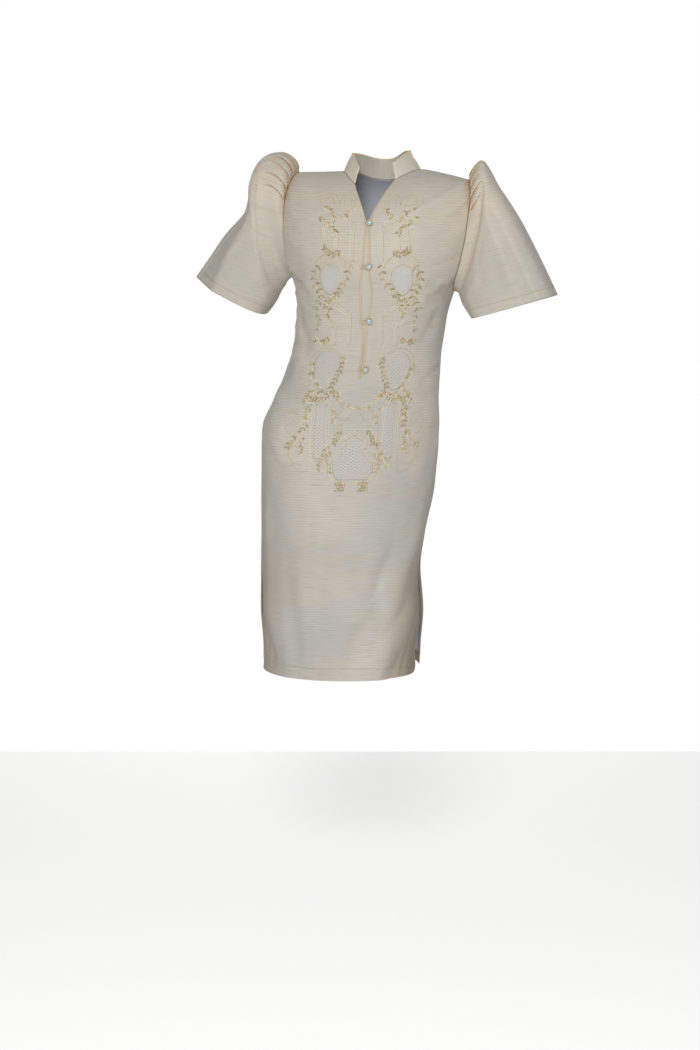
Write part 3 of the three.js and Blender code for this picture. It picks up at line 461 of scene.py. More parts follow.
# How each line is sewn: 0 is a frame of two pale cords, 1 a scroll and 2 a stem with leaves. A
# stem's leaves begin at start and come every so far; hands is 0 for pairs and 1 or -1 for one side;
# lean is their angle off the stem, and tone runs from 0 dark olive to 2 pale.
SEWN = columns("line kind start every leaf lean hands tone", """
    1  1 0 0   0   0  0 0
    2  1 0 0   0   0  0 0
    3  1 0 0   0   0  0 0
    4  1 0 0   0   0  0 0
    5  2 2 5.5 7.5 38 0 1
    6  2 2 5.5 7   40 0 1
    7  2 2 5.5 8   34 0 1
    10 0 0 0   0   0  0 0
    11 0 0 0   0   0  0 0
    12 2 2 5   8   48 0 0
    20 1 0 0   0   0  0 0
    21 2 4 11  9   56 0 1
    22 2 4 11  9   56 0 0
    23 2 2 5   7   44 0 1
    24 2 2 6   8   42 0 1
    30 0 0 0   0   0  0 0
    31 0 0 0   0   0  0 0
    32 2 2 8   7   40 0 1
    33 2 2 5   7.5 46 0 1
    40 1 0 0   0   0  0 0
    41 2 3 7.5 8   42 0 0
    42 2 3 7.5 8   42 0 1
    43 2 3 6   7   46 0 2
    44 2 2 5   7.5 46 0 0
    50 0 0 0   0   0  0 0
    60 1 0 0   0   0  0 0
    61 1 0 0   0   0  0 0
    62 1 0 0   0   0  0 0
    63 2 3 7   8   40 0 1
    70 0 0 0   0   0  0 0
    71 2 3 6.5 7.5 44 0 1
    72 1 0 0   0   0  0 0
    73 1 0 0   0   0  0 0
    74 2 2 6   7   44 0 1
    80 2 2 5   7   36 0 0
    81 2 2 6   6   36 0 1
    82 2 2 6   6   36 0 1
    90 2 2 5   6.5 44 0 1
    91 2 2 5   6   44 0 2
    92 2 2 5   6.5 42 0 1
    93 2 2 5   6.5 42 0 1
    94 2 2 5   6   42 0 1
    95 2 2 5   6   42 0 1
""")
# Insets of drawn-thread net: the upper ovals of fine net, and of diamond lattice the lower ovals,
# the panels below them and the one in the middle.
OVALS = columns("number x z wide high narrow", """
    1 62 -182 18 26 0.2
    2 60 -337 22 34 0.25
""")
NET_CLOTH = 0.35
NET_LIFT = 0.22
PANEL_OUTLINE = [
    (57, -385), (70, -396), (69, -486), (56, -499), (48, -486), (50.5, -397), (57, -385),
]
MIDDLE_OUTLINE = [
    (0, -446), (17, -458), (14, -473), (36, -495), (35, -513), (27, -525),
    (-27, -525), (-35, -513), (-36, -495), (-14, -473), (-17, -458), (0, -446),
]


# ---------- small mathematics ----------
def mix(a, b, t):
    return a + (b - a) * t


def ease(t):
    return t * t * (3 - 2 * t)


def step(start, end, v):
    return ease(np.clip((v - start) / (end - start), 0, 1))


def power(v, p):
    return np.sign(v) * np.abs(v) ** p


def unit(v):
    return v / np.maximum(np.linalg.norm(v, axis=-1, keepdims=True), 1e-9)


def smooth(table, key, column):
    """A smooth line through one column of a table, without overshoot."""
    at, value = table[key], table[column]
    rise = np.diff(value) / np.diff(at)
    slope = np.concatenate([rise[:1], np.zeros(len(at) - 2), rise[-1:]])
    before, after = rise[:-1], rise[1:]
    agree = before * after > 0
    total = np.where(agree, before + after, 1)
    slope[1:-1] = np.where(agree, 2 * before * after / total, 0)

    def read(v):
        x = np.clip(v, at[0], at[-1])
        i = np.clip(np.searchsorted(at, x) - 1, 0, len(at) - 2)
        width = at[i + 1] - at[i]
        t = (x - at[i]) / width
        start = slope[i] * width * t * (1 - t) ** 2
        end = slope[i + 1] * width * t * t * (t - 1)
        return mix(value[i], value[i + 1], ease(t)) + start + end

    return read


def smooth_all(table, key):
    return {name: smooth(table, key, name) for name in table if name != key}


SECTION = smooth_all(SECTIONS, "z")
SHOULDER = smooth_all(SHOULDER_LINE, "across")
ARM = smooth_all(ARMHOLE, "part")
SLIT = smooth_all(SLIT_OPENING, "z")
GAPE = smooth(PLACKET_GAPE, "z", "half")
STAND = smooth_all(COLLAR, "way")


# ---------- the body's surface ----------
WHOLE_ROUND = SHOULDER_ROUND * math.pi / 2
# Small steps for slopes: turn and way on the body, and part round and place along a sleeve.
BODY_STEPS, SLEEVE_STEPS = (0.7, 2), (0.002, 0.1)


def depth_of(way):
    """The depth below the shoulder line at a way, which starts out level over the shoulder."""
    rounded = SHOULDER_ROUND * (1 - np.cos(np.minimum(way, WHOLE_ROUND) / SHOULDER_ROUND))
    return rounded + np.maximum(way - WHOLE_ROUND, 0)


def way_of(depth):
    share = np.clip(1 - depth / SHOULDER_ROUND, 0, 1)
    return SHOULDER_ROUND * np.arccos(share) + np.maximum(depth - SHOULDER_ROUND, 0)


def across(z, turn):
    return SECTION["half"](z) * power(np.sin(np.radians(turn)), 2 / SECTION_POWER)


def slope_left(depth):
    """The share of the shoulders' slope that the cloth still has at a depth."""
    return 1 - step(40, 260, depth)


def plain_body(turn, way):
    """The plain surface at turns round the body and ways down from the shoulder line."""
    turn, way = np.broadcast_arrays(np.asarray(turn, float), np.asarray(way, float))
    depth = depth_of(way)
    guess = across(-depth, turn)
    z = SHOULDER["z"](guess) * slope_left(depth) - depth
    x = across(z, turn)
    cosine = np.cos(np.radians(turn))
    reach = np.where(cosine > 0, SECTION["front"](z), SECTION["back"](z))
    oval = -reach * power(cosine, 2 / SECTION_POWER)
    cap = np.where(way < WHOLE_ROUND, np.sin(way / SHOULDER_ROUND), 1)
    top_y = SHOULDER["y"](guess) * slope_left(depth)
    y = top_y + (oval - top_y) * cap
    twist = np.radians(SECTION["turn"](z))
    c, s = np.cos(twist), np.sin(twist)
    return np.stack([SECTION["shift"](z) + x * c - y * s, x * s + y * c, z], -1)


def normal_of(surface, u, v, du, dv):
    """The outward direction of a surface, from its slopes over small steps."""
    along_u = surface(u + du, v) - surface(u - du, v)
    along_v = surface(u, v + dv) - surface(u, v - dv)
    return unit(np.cross(along_v, along_u))


def fold(x, z, end, width, out, fade_in, fade_out):
    """A fold's height at places. They and its end are counted from its start, and its two fades
    are given as parts of its length."""
    length = math.hypot(*end)
    along = (x * end[0] + z * end[1]) / length**2
    side = (x * end[1] - z * end[0]) / length
    taper = step(*fade_in, along) * (1 - step(*fade_out, along))
    return out * taper * np.exp(-((side / width) ** 2))


def fold_sum(table, turn, z):
    """The sum of a table's folds at places on the body, outward positive."""
    full = (turn % 360 + 450) % 360 - 90
    total = np.zeros(np.shape(full))
    for turn1, z1, turn2, z2, width, out in zip(*table.values()):
        end = ((turn2 - turn1) * DEGREE_MM, z2 - z1)
        place = ((full - turn1) * DEGREE_MM, z - z1)
        total = total + fold(*place, end, width, out, (-0.12, 0.25), (0.75, 1.12))
    return total


def body(turn, way, outward=0.0):
    """The cloth's outer face, with its folds, moved outward."""
    turn, way = np.broadcast_arrays(np.asarray(turn, float), np.asarray(way, float))
    point = plain_body(turn, way)
    normal = normal_of(plain_body, turn, np.maximum(way, 3), *BODY_STEPS)
    z = point[..., 2]
    folds = (fold_sum(FOLDS, turn, z) + fold_sum(CREASES, turn, z)) * step(0, 14, way)
    return point + normal * (folds + outward)[..., None]


def body_normal(turn, way):
    return normal_of(body, turn, np.maximum(way, 4), *BODY_STEPS)


def way_to(turn, z):
    """The way down that reaches a height at a turn."""
    turn, z = np.broadcast_arrays(np.asarray(turn, float), np.asarray(z, float))
    low, high = np.zeros(turn.shape), np.full(turn.shape, 1000.0)
    for _ in range(34):
        middle = (low + high) / 2
        above = plain_body(turn, middle)[..., 2] > z
        low, high = np.where(above, middle, low), np.where(above, high, middle)
    return (low + high) / 2


def turn_to(x, z):
    """The turn on the front whose point lies at a distance across the body at a height."""
    share = np.clip(np.abs(x) / SECTION["half"](z), 0, 1) ** (SECTION_POWER / 2)
    return np.degrees(np.arcsin(share)) * np.sign(x)


def on_front(x, z, outward=0.0):
    """A point on the front by its distance from the middle line and its height."""
    turn = turn_to(x, z)
    way = way_to(turn, z)
    normal = body_normal(turn, way)
    return body(turn, way) + normal * np.asarray(outward)[..., None], normal


# ---------- edges of the panels ----------
# Rows of a panel at which its height is known: the hem's top, the slit's top, the placket's end,
# the underarm, the foot of the V and the shoulder. Row 0 is the hem.
HEM_TOP_ROW, SLIT_ROW, PLACKET_ROW, ARM_ROW, V_ROW, LAST_ROW = 1, 7, 17, 22, 28, 33
LOW_ROWS = [0, HEM_TOP_ROW, SLIT_ROW, PLACKET_ROW, ARM_ROW]
# Columns of a half panel, counted from its side edge: the neck point's and the middle's.
NECK_COLUMN, MIDDLE_COLUMN = 9, 14
# The turn and the way that keep a panel's edge clear of its neighbour at the seams.
SEAM_TURN = np.degrees(((SEAM_GAP / 2 + 0.06) / 108) ** (SECTION_POWER / 2))
SEAM_WAY = 0.34


def loop_part(row):
    """The part of the way round the armhole at a row of a panel's edge."""
    return 0.5 * (np.clip(row - ARM_ROW, 0, None) / (LAST_ROW - ARM_ROW)) ** 0.9


def armhole_place(side, back, part):
    """The turn and way of the armhole's edge at a part of the way round it."""
    turn = 90 + ARM["back"](part) if back else 90 - ARM["front"](part)
    share = (1 + np.cos(2 * np.pi * part)) / 2
    return SIDE[side] * turn, np.maximum(way_of(-UNDERARM[side] * share), SEAM_WAY)


def side_turn(side, back, z):
    """The turn of a panel's side edge at a height, with the slit's swing."""
    swing = SLIT[("back" if back else "front") + side.capitalize()](z) / DEGREE_MM
    return SIDE[side] * (90 + SEAM_TURN + swing if back else 90 - SEAM_TURN - swing)


def hem_height(turn, edge_turn):
    """Height of the hem, with the corners at the slits rounded up."""
    facing = np.cos(np.radians(turn))
    level = HEM_LEVEL - np.where(facing > 0, FRONT_HEM_DIP, BACK_HEM_DIP) * facing
    from_edge = np.abs(turn - edge_turn) * DEGREE_MM
    return level + CORNER_RISE * (1 - np.clip(from_edge / CORNER_WIDE, 0, 1)) ** 2


def opening_half(side, z):
    """Half the front's opening: the gape below the foot of the V, and the V above it."""
    notch_x, notch_z = NOTCH[side]
    foot = GAPE(V_BOTTOM)
    rise = np.clip((z - V_BOTTOM) / (notch_z - V_BOTTOM), 0, None)
    return np.where(z <= V_BOTTOM, GAPE(z), foot + (notch_x - foot) * rise**1.25)


def side_edge(side, back, row):
    """Turns and ways of a half panel's side edge: up the slit and the seam, then the armhole."""
    edge_turn = side_turn(side, back, HEM_LEVEL)
    foot = hem_height(edge_turn, edge_turn)
    top = plain_body(*armhole_place(side, back, 0.0))[2]
    z = np.interp(row, LOW_ROWS, [foot, HEM_LEVEL + HEM_HEIGHT, SLIT_TOP, PLACKET_END, top])
    turn = side_turn(side, back, z)
    way = way_to(turn, z)
    arm_turn, arm_way = armhole_place(side, back, loop_part(row))
    above = row > ARM_ROW
    return np.where(above, arm_turn, turn), np.where(above, arm_way, way)


def middle_edge(side, back, row):
    """Turns and ways of its middle edge, which follows the opening on the front."""
    foot = hem_height(180 if back else 0, 90)
    z = [foot, HEM_LEVEL + HEM_HEIGHT, SLIT_TOP, PLACKET_END, ARM_FOOT]
    if back:
        z = np.interp(row, [*LOW_ROWS, LAST_ROW], [*z, BACK_NECK_Z])
        turn = np.full(np.shape(row), SIDE[side] * 180.0)
        return turn, way_to(turn, z)
    z = np.interp(row, [*LOW_ROWS, V_ROW, LAST_ROW], [*z, V_BOTTOM, NOTCH[side][1]])
    half = np.where(row > PLACKET_ROW, opening_half(side, z), 0)
    turn = turn_to(SIDE[side] * half, z)
    return turn, way_to(turn, z)


def top_edge(side, back, column):
    """The top of a half panel: along the shoulder from its tip, then down the neck."""
    tip_across = np.abs(across(0.0, armhole_place(side, False, 0.5)[0]))
    neck = NECK_POINT[side]
    neck_turn = np.abs(turn_to(neck, 0.0))
    notch_x, notch_z = NOTCH[side]
    end = 0 if back else np.abs(turn_to(notch_x, notch_z))
    end_way = way_to(180, BACK_NECK_Z) if back else way_to(SIDE[side] * end, notch_z)
    shoulder = np.abs(turn_to(mix(tip_across, neck, np.clip(column / NECK_COLUMN, 0, 1)), 0.0))
    t = np.clip((column - NECK_COLUMN) / (MIDDLE_COLUMN - NECK_COLUMN), 0, 1)
    bend = t if back else t**1.5
    drop = np.sin(t * np.pi / 2) if back else t
    turn = np.where(column <= NECK_COLUMN, shoulder, mix(neck_turn, end, bend))
    way = np.where(column <= NECK_COLUMN, SEAM_WAY, mix(SEAM_WAY, end_way, drop))
    return SIDE[side] * (180 - turn if back else turn), way


def half_panel(side, back, rows, cols):
    """Turns and ways of a half panel's places, from its side edge to its middle edge."""
    edge_turn, edge_way = (v[:, None] for v in side_edge(side, back, rows))
    mid_turn, mid_way = (v[:, None] for v in middle_edge(side, back, rows))
    top_turn, top_way = (v[None] for v in top_edge(side, back, cols))
    end_turn, end_way = top_edge(side, back, np.array([0.0, MIDDLE_COLUMN]))
    t = cols[None] / MIDDLE_COLUMN
    lift = ease(np.clip((rows[:, None] - ARM_ROW) / (LAST_ROW - ARM_ROW), 0, 1))
    turn = mix(edge_turn, mid_turn, t) + lift * (top_turn - mix(*end_turn, t))
    way = mix(edge_way, mid_way, t) + lift * (top_way - mix(*end_way, t))
    # The hem's own row runs level, not straight from corner to corner.
    below = np.clip(1 - rows[:, None], 0, 1)
    hem_way = way_to(turn, hem_height(turn, edge_turn[0, 0]))
    flat_way = mix(edge_way, mid_way, t)
    return turn, np.where(below > 0, way + below * (hem_way - flat_way), way)


# ---------- meshes ----------
def grid_quads(rows, cols, closed=False, start=0):
    """Quads of a grid of rows from low to high and columns from right to left, facing outward."""
    steps = np.arange(cols if closed else cols - 1)
    j, i = np.meshgrid(np.arange(rows - 1), steps, indexing="ij")
    k = (i + 1) % cols
    quads = np.stack([j * cols + i, j * cols + k, (j + 1) * cols + k, (j + 1) * cols + i], -1)
    return quads.reshape(-1, 4) + start


def add_uv(mesh, name, uv):
    """A UV layer from a value for each point."""
    layer = mesh.uv_layers.new(name=name)
    order = np.zeros(len(mesh.loops), np.int32)
    mesh.loops.foreach_get("vertex_index", order)
    layer.data.foreach_set("uv", np.asarray(uv, np.float32)[order].ravel())


def make_object(name, points, faces, uv=None, slots=None):
    """An object in metres from points in millimetres. uv is in metres of cloth for each point."""
    mesh = bpy.data.meshes.new(PREFIX + name)
    mesh.from_pydata((np.asarray(points) * MM).tolist(), [], [list(map(int, f)) for f in faces])
    mesh.shade_smooth()
    if uv is not None:
        add_uv(mesh, "cloth", uv)
    if slots is not None:
        mesh.polygons.foreach_set("material_index", np.asarray(slots, np.int32))
    mesh.update()
    made = bpy.data.objects.new(PREFIX + name, mesh)
    bpy.context.scene.collection.objects.link(made)
    return made


def wall(name, outer, inner, quads, uv):
    """A closed wall from an outer and an inner sheet, with strips along all its free edges. Slot 0
    is the outer face with the edges and slot 1 the inner face."""
    count = len(outer)
    pairs = np.concatenate([quads[:, [a, (a + 1) % 4]] for a in range(4)])
    code = pairs[:, 0].astype(np.int64) * count + pairs[:, 1]
    back_code = pairs[:, 1].astype(np.int64) * count + pairs[:, 0]
    free = pairs[~np.isin(code, back_code)]
    strips = np.stack([free[:, 1], free[:, 0], free[:, 0] + count, free[:, 1] + count], -1)
    faces = np.concatenate([quads, quads[:, ::-1] + count, strips])
    slots = np.concatenate([np.zeros(len(quads)), np.ones(len(quads)), np.zeros(len(strips))])
    return make_object(name, np.concatenate([outer, inner]), faces, np.concatenate([uv, uv]), slots)


def vertex_normals(points, quads):
    normals = np.zeros(points.shape)
    a, b, c, d = (points[quads[:, k]] for k in range(4))
    face = np.cross(c - a, d - b)
    for k in range(4):
        np.add.at(normals, quads[:, k], face)
    return unit(normals)


def body_wall(name, turn, way, quads, outward, thickness):
    """A wall on the body: its outer face moved outward and its inner face behind."""
    turn, way = turn.ravel(), way.ravel()
    point, normal = body(turn, way), body_normal(turn, way)
    z = point[:, 2]
    uv = np.stack([turn * DEGREE_MM, z], -1) * MM
    inner = point + normal * (outward - thickness)
    return wall(name, point + normal * outward, inner, quads, uv)


def lengths_along(path):
    """The way walked to each point of a path."""
    return np.concatenate([[0], np.cumsum(np.linalg.norm(np.diff(path, axis=0), axis=1))])


def tubes(name, paths, radius, sides=6):
    """A piece of closed tubes along paths of (points, normals)."""
    points, faces, run_uv, start = [], [], [], 0
    angle = 2 * np.pi * np.arange(sides) / sides
    for path, normal in paths:
        run = unit(np.gradient(path, axis=0))
        sideways = unit(np.cross(run, normal))
        level = np.cross(sideways, run)
        ring = path[:, None] + radius * (
            sideways[:, None] * np.cos(angle)[:, None] + level[:, None] * np.sin(angle)[:, None]
        )
        count = len(path)
        points.append(ring.reshape(-1, 3))
        faces.extend(grid_quads(count, sides, True, start)[:, ::-1].tolist())
        first = list(range(start, start + sides))
        last = list(range(start + (count - 1) * sides, start + count * sides))
        faces.append(first)
        faces.append(last[::-1])
        length = np.repeat(lengths_along(path), sides)
        run_uv.append(np.stack([length, np.tile(angle, count)], -1) * MM)
        start += count * sides
    return make_object(name, np.concatenate(points), faces, np.concatenate(run_uv))


# ---------- body panels ----------
def spaced(stops, counts):
    """Rows between whole stops, so many to each stretch."""
    parts = [np.linspace(a, b, n, endpoint=False) for a, b, n in zip(stops, stops[1:], counts)]
    return np.concatenate([*parts, [float(stops[-1])]])


ROWS = spaced([*LOW_ROWS, LAST_ROW], [8, 46, 92, 46, 84])
COLS = spaced([0, MIDDLE_COLUMN], [50])
HEM_ROWS = ROWS <= HEM_TOP_ROW
SLIT_ROWS = (ROWS >= HEM_TOP_ROW) & (ROWS <= SLIT_ROW)
TURNED_COLS = COLS <= 1
BEHIND = -(CLOTH + LAYER_GAP)  # the outer face of what lies behind a panel
HALVES = {
    (side, back): half_panel(side, back, ROWS, COLS) for side in SIDE for back in (False, True)
}


def front_grid():
    """Both halves of the front, which share their middle column up to the placket's end."""
    right, left = HALVES["right", False], HALVES["left", False]
    turn = np.concatenate([right[0].ravel(), left[0][:, ::-1].ravel()])
    way = np.concatenate([right[1].ravel(), left[1][:, ::-1].ravel()])
    wide = len(COLS)
    quads = grid_quads(len(ROWS), wide)
    names = np.arange(2 * len(ROWS) * wide)
    shared = np.flatnonzero(ROWS <= PLACKET_ROW)
    names[len(ROWS) * wide + shared * wide] = shared * wide + wide - 1
    return turn, way, np.concatenate([quads, names[quads + len(ROWS) * wide]])


def joined(back, keep=slice(None)):
    """Turns and ways of a whole panel as rows, from one side edge to the other."""
    first, second = ("left", "right") if back else ("right", "left")
    turn_a, way_a = HALVES[first, back]
    turn_b, way_b = HALVES[second, back]
    turn_b = turn_b + (360 if back else 0)
    turn = np.concatenate([turn_a, turn_b[:, ::-1][:, 1:]], 1)[keep]
    way = np.concatenate([way_a, way_b[:, ::-1][:, 1:]], 1)[keep]
    return turn, way, grid_quads(*turn.shape)


def compact(turn, way, quads):
    """Drops the places that no quad uses."""
    used, named = np.unique(quads, return_inverse=True)
    return turn.ravel()[used], way.ravel()[used], named.reshape(quads.shape)


front = body_wall("front", *compact(*front_grid()), 0, CLOTH)
back = body_wall("back", *compact(*joined(True)), 0, CLOTH)
front_hem = body_wall("front_hem", *joined(False, HEM_ROWS), BEHIND, TURNED_CLOTH)
back_hem = body_wall("back_hem", *joined(True, HEM_ROWS), BEHIND, TURNED_CLOTH)


def slit_facing(side, back):
    """The turned edge of a panel along a slit. It ends a little above the turned hem."""
    turn, way = (v[SLIT_ROWS][:, TURNED_COLS] for v in HALVES[side, back])
    way = way - np.where(np.arange(len(way)) == 0, 0.6, 0)[:, None]
    if back == (side == "right"):
        turn, way = turn[:, ::-1], way[:, ::-1]
    name = f"slit_facing_{'back' if back else 'front'}_{side}"
    return body_wall(name, turn, way, grid_quads(*turn.shape), BEHIND, TURNED_CLOTH)


facings = [slit_facing(side, back) for side in SIDE for back in (False, True)]

# The underlap strip runs past both ends of the opening, and lies behind the front's turned edges.
STAND_ACROSS = np.linspace(-13.5, 13, 15)
STAND_HEIGHTS = np.linspace(PLACKET_END - 11, V_BOTTOM + 3, 110)[:, None]
STAND_PLACE = BEHIND - 0.5
stand_turn = turn_to(STAND_ACROSS[None], STAND_HEIGHTS)
stand_way = way_to(stand_turn, STAND_HEIGHTS)
stand_quads = grid_quads(*stand_turn.shape)
button_stand = body_wall(
    "button_stand", stand_turn, stand_way, stand_quads, STAND_PLACE, STAND_CLOTH
)


# ---------- sleeves ----------
def ring_points(side, part):
    """Points at parts of the way round, on each ring of a sleeve: (rings, parts, 3)."""
    table = {name: column[:, None] for name, column in SLEEVES[side].items()}
    c, s = np.cos(2 * np.pi * part)[None], np.sin(2 * np.pi * part)[None]
    p = 2 / table["bend"]
    outward = (1 - power(c, p)) / 2
    x = mix(table["inX"], table["outX"], outward) + SIDE[side] * table["bow"] * s * s
    z = mix(table["inZ"], table["outZ"], outward)
    # The front stays flat as far as its crease, then turns into the outer face.
    rounded = power(s, p)
    outer_face = (1 - outward) / np.maximum(1 - table["edge"], 0.001)
    apart = np.hypot(rounded - outer_face, CREASE_SOFTNESS * rounded)
    creased = (rounded + outer_face - apart) / 2
    y = table["y"] - np.where(s > 0, creased * table["front"], rounded * table["back"])
    return np.stack([x, y, z], -1)


def armhole_points(side, part):
    """Points round the armhole: from the underarm up the front, over the tip and down the back."""
    front_part, back_part = np.minimum(part, 0.5), np.minimum(1 - part, 0.5)
    on_back = (part > 0.5)[:, None]
    return np.where(
        on_back,
        body(*armhole_place(side, True, back_part)),
        body(*armhole_place(side, False, front_part)),
    )


def sleeve_surface(side):
    """The plain sleeve as a function of the part round and the place along the rings."""

    def surface(part, at):
        part, at = np.broadcast_arrays(part, at)
        flat, where = (part % 1.0).ravel(), at.ravel()
        stops = np.concatenate([armhole_points(side, flat)[None], ring_points(side, flat)])
        stops = np.concatenate([2 * stops[:1] - stops[1:2], stops, 2 * stops[-1:] - stops[-2:-1]])
        i = np.clip(np.floor(where).astype(int), 0, len(stops) - 4)
        k = np.arange(len(flat))
        a, b, c, d = (stops[i + n, k] for n in range(4))
        t = (where - i)[:, None]
        curve = b + (c - b) * ease(t)
        curve = curve + (c - a) / 2 * t * (1 - t) ** 2 + (d - b) / 2 * t * t * (t - 1)
        return curve.reshape(*part.shape, 3)

    return surface


def sleeve_crease_sum(side, part, at):
    """The sum of a sleeve's creases at parts of the way round and places along the rings."""
    total = np.zeros(np.shape(part))
    for part1, at1, part2, at2, width, out in zip(*SLEEVE_CREASES[side].values()):
        end = ((part2 - part1) * SLEEVE_ROUND, (at2 - at1) * RING_STEP)
        place = ((part - part1) * SLEEVE_ROUND, (at - at1) * RING_STEP)
        total = total + fold(*place, end, width, out, (-0.1, 0.25), (0.8, 1.12))
    return total


# A knife pleat from its hidden fold up over its crest and down to the next: the part of the
# pleat's width, where the cloth there has moved to, and its height.
PLEAT_SHAPE = columns("t moved high", """
    0    0    0
    0.07 -0.5 0.45
    0.14 -1   0.92
    0.19 -1   1
    0.27 -0.8 0.98
    0.42 -0.5 0.80
    0.60 -0.2 0.5
    0.80 0    0.18
    1    0    0
""")


def make_sleeve(side):
    """A sleeve with its cap laid in lapped pleats, and its plain surface for the hem."""
    surface = sleeve_surface(side)
    steps = PLEAT_SHAPE["t"][:-1]
    pleats = (np.arange(CAP_PLEATS)[:, None] + steps[None]).ravel() / CAP_PLEATS
    plain = np.linspace(0, PLEAT_START, 40, endpoint=False)
    part = np.concatenate([plain, mix(PLEAT_START, PLEAT_END, pleats), 1 - plain[1:][::-1]])
    end = np.flatnonzero(part > PLEAT_END)[0]
    part = np.insert(part, end, PLEAT_END)
    at = spaced([0, 0.4, 3.4, CUFF], [8, 44, 52])
    pleat_width = (PLEAT_END - PLEAT_START) / CAP_PLEATS
    place = np.clip((part - PLEAT_START) / (PLEAT_END - PLEAT_START) * CAP_PLEATS, 0, CAP_PLEATS)
    number = np.minimum(place.astype(int), CAP_PLEATS - 1)
    t = place - number
    table = PLEATS[side]
    reach = table["reach"][number][None]
    rise = step(0, 0.5, at)[:, None] * (1 - step(0.25 * reach, reach, at[:, None]))
    high = np.interp(t, PLEAT_SHAPE["t"], PLEAT_SHAPE["high"]) * table["high"][number]
    # The laps run from the underarm towards the shoulder tip on both halves.
    moved = np.interp(t, PLEAT_SHAPE["t"], PLEAT_SHAPE["moved"]) * table["lap"][number]
    part_grid = part[None] + moved[None] * pleat_width * rise
    at_grid = np.repeat(at[:, None], len(part), 1)
    off_seam = np.maximum(at_grid, 0.25)
    normal = normal_of(surface, part_grid, off_seam, *SLEEVE_STEPS) * SIDE[side]
    point = surface(part_grid, at_grid)
    away = unit(surface(part_grid, at_grid + 0.2) - point)
    point = point + away * (SEAM_GAP + 0.15) * (1 - step(0, 0.2, at_grid))[..., None]
    lift = high[None] * rise + sleeve_crease_sum(side, part_grid, at_grid)
    point = point + normal * lift[..., None]
    cols = len(part)
    quads = grid_quads(len(at), cols, True)
    if side == "left":
        quads = quads[:, ::-1]
    flat = point.reshape(-1, 3)
    normals = vertex_normals(flat, quads)
    across_slubs = flat @ unit(np.array(SLEEVE_GRAIN[side]))
    uv = np.stack([np.tile(part * SLEEVE_ROUND, len(at)), across_slubs], -1) * MM
    made = wall(f"sleeve_{side}", flat, flat - normals * CLOTH, quads, uv)
    return made, surface


def make_sleeve_hem(side, surface):
    """A sleeve's turned-up hem, and the line of stitches along its upper edge."""
    part = np.linspace(0, 1, 120, endpoint=False)
    reach = np.linalg.norm(surface(part, float(CUFF)) - surface(part, CUFF - 1.0), axis=1)
    rows = 6
    points, normals = [], []
    for share in np.linspace(1, 0, rows):
        at = CUFF - share * SLEEVE_HEM_HEIGHT / reach
        inside = np.minimum(at, CUFF - 0.2)
        normal = normal_of(surface, part, inside, *SLEEVE_STEPS) * SIDE[side]
        crease = sleeve_crease_sum(side, part, at)[:, None]
        points.append(surface(part, at) + normal * crease)
        normals.append(normal)
    point, normal = np.concatenate(points), np.concatenate(normals)
    quads = grid_quads(rows, len(part), True)
    if side == "left":
        quads = quads[:, ::-1]
    height = np.repeat(np.arange(rows) * SLEEVE_HEM_HEIGHT / (rows - 1), len(part))
    uv = np.stack([np.tile(part * SLEEVE_ROUND, rows), height], -1) * MM
    outer = point + normal * BEHIND
    made = wall(f"sleeve_hem_{side}", outer, outer - normal * TURNED_CLOTH, quads, uv)
    top, outward = (np.concatenate([rows_of[0], rows_of[0][:1]]) for rows_of in (points, normals))
    return made, (top + outward * STITCH_LIFT, outward)


sleeves, sleeve_hems, cuff_stitches = {}, {}, []
for side in SIDE:
    sleeves[side], surface_here = make_sleeve(side)
    sleeve_hems[side], cuff_stitch = make_sleeve_hem(side, surface_here)
    cuff_stitches.append(cuff_stitch)


# ---------- collar ----------
def neck_edge():
    """The neck's edge from the right end of the collar round the back to the left end."""
    down = np.linspace(NECK_COLUMN, MIDDLE_COLUMN, 26)
    stretches = []
    for side, back, order in (
        ("right", False, down[::-1]),
        ("right", True, down[1:]),
        ("left", True, down[::-1][1:]),
        ("left", False, down[1:]),
    ):
        turn, way = top_edge(side, back, order)
        stretches.append(body(turn, way))
    return np.concatenate(stretches)


def collar_sheet():
    """The collar's outer face as rows from the neck to its top, with its length and its rises."""
    edge = neck_edge()
    length = lengths_along(edge)
    way = 2 * length / length[-1] - 1
    run = np.gradient(edge, axis=0)
    # The edge turns sharply at the shoulders, so its direction is evened out a little.
    for _ in range(6):
        run[1:-1] = (run[:-2] + 2 * run[1:-1] + run[2:]) / 4
    run[:, 2] = 0
    run = unit(run)
    inward = np.stack([-run[:, 1], run[:, 0], np.zeros(len(run))], -1)
    inward = inward * np.where(np.sum(inward * -edge, 1) < 0, -1, 1)[:, None]
    rises = np.linspace(0, 1, 22)
    rows = []
    for rise in rises:
        lean = STAND["lean"](way) * (0.75 * rise + 0.25 * rise**2) + SEAM_GAP + 0.1
        point = edge + inward * lean[:, None]
        point[:, 2] = edge[:, 2] + 0.2 + STAND["height"](way) * rise
        rows.append(point)
    return np.stack(rows), length, rises


collar_points, collar_length, collar_rises = collar_sheet()
collar_quads = grid_quads(*collar_points.shape[:2])[:, ::-1]
collar_flat = collar_points.reshape(-1, 3)
collar_normals = vertex_normals(collar_flat, collar_quads)
# The band is cut with its slubs upright, so its height is the way across them.
COLLAR_HEIGHT = 30
collar_up = np.repeat(collar_rises * COLLAR_HEIGHT, len(collar_length))
collar_uv = np.stack([collar_up, np.tile(collar_length, len(collar_rises))], -1) * MM
collar_inner = collar_flat - collar_normals * COLLAR_CLOTH
collar = wall("collar", collar_flat, collar_inner, collar_quads, collar_uv)


# ---------- buttons, loops and piping ----------
def activate(made):
    bpy.ops.object.select_all(action="DESELECT")
    made.select_set(True)
    bpy.context.view_layer.objects.active = made


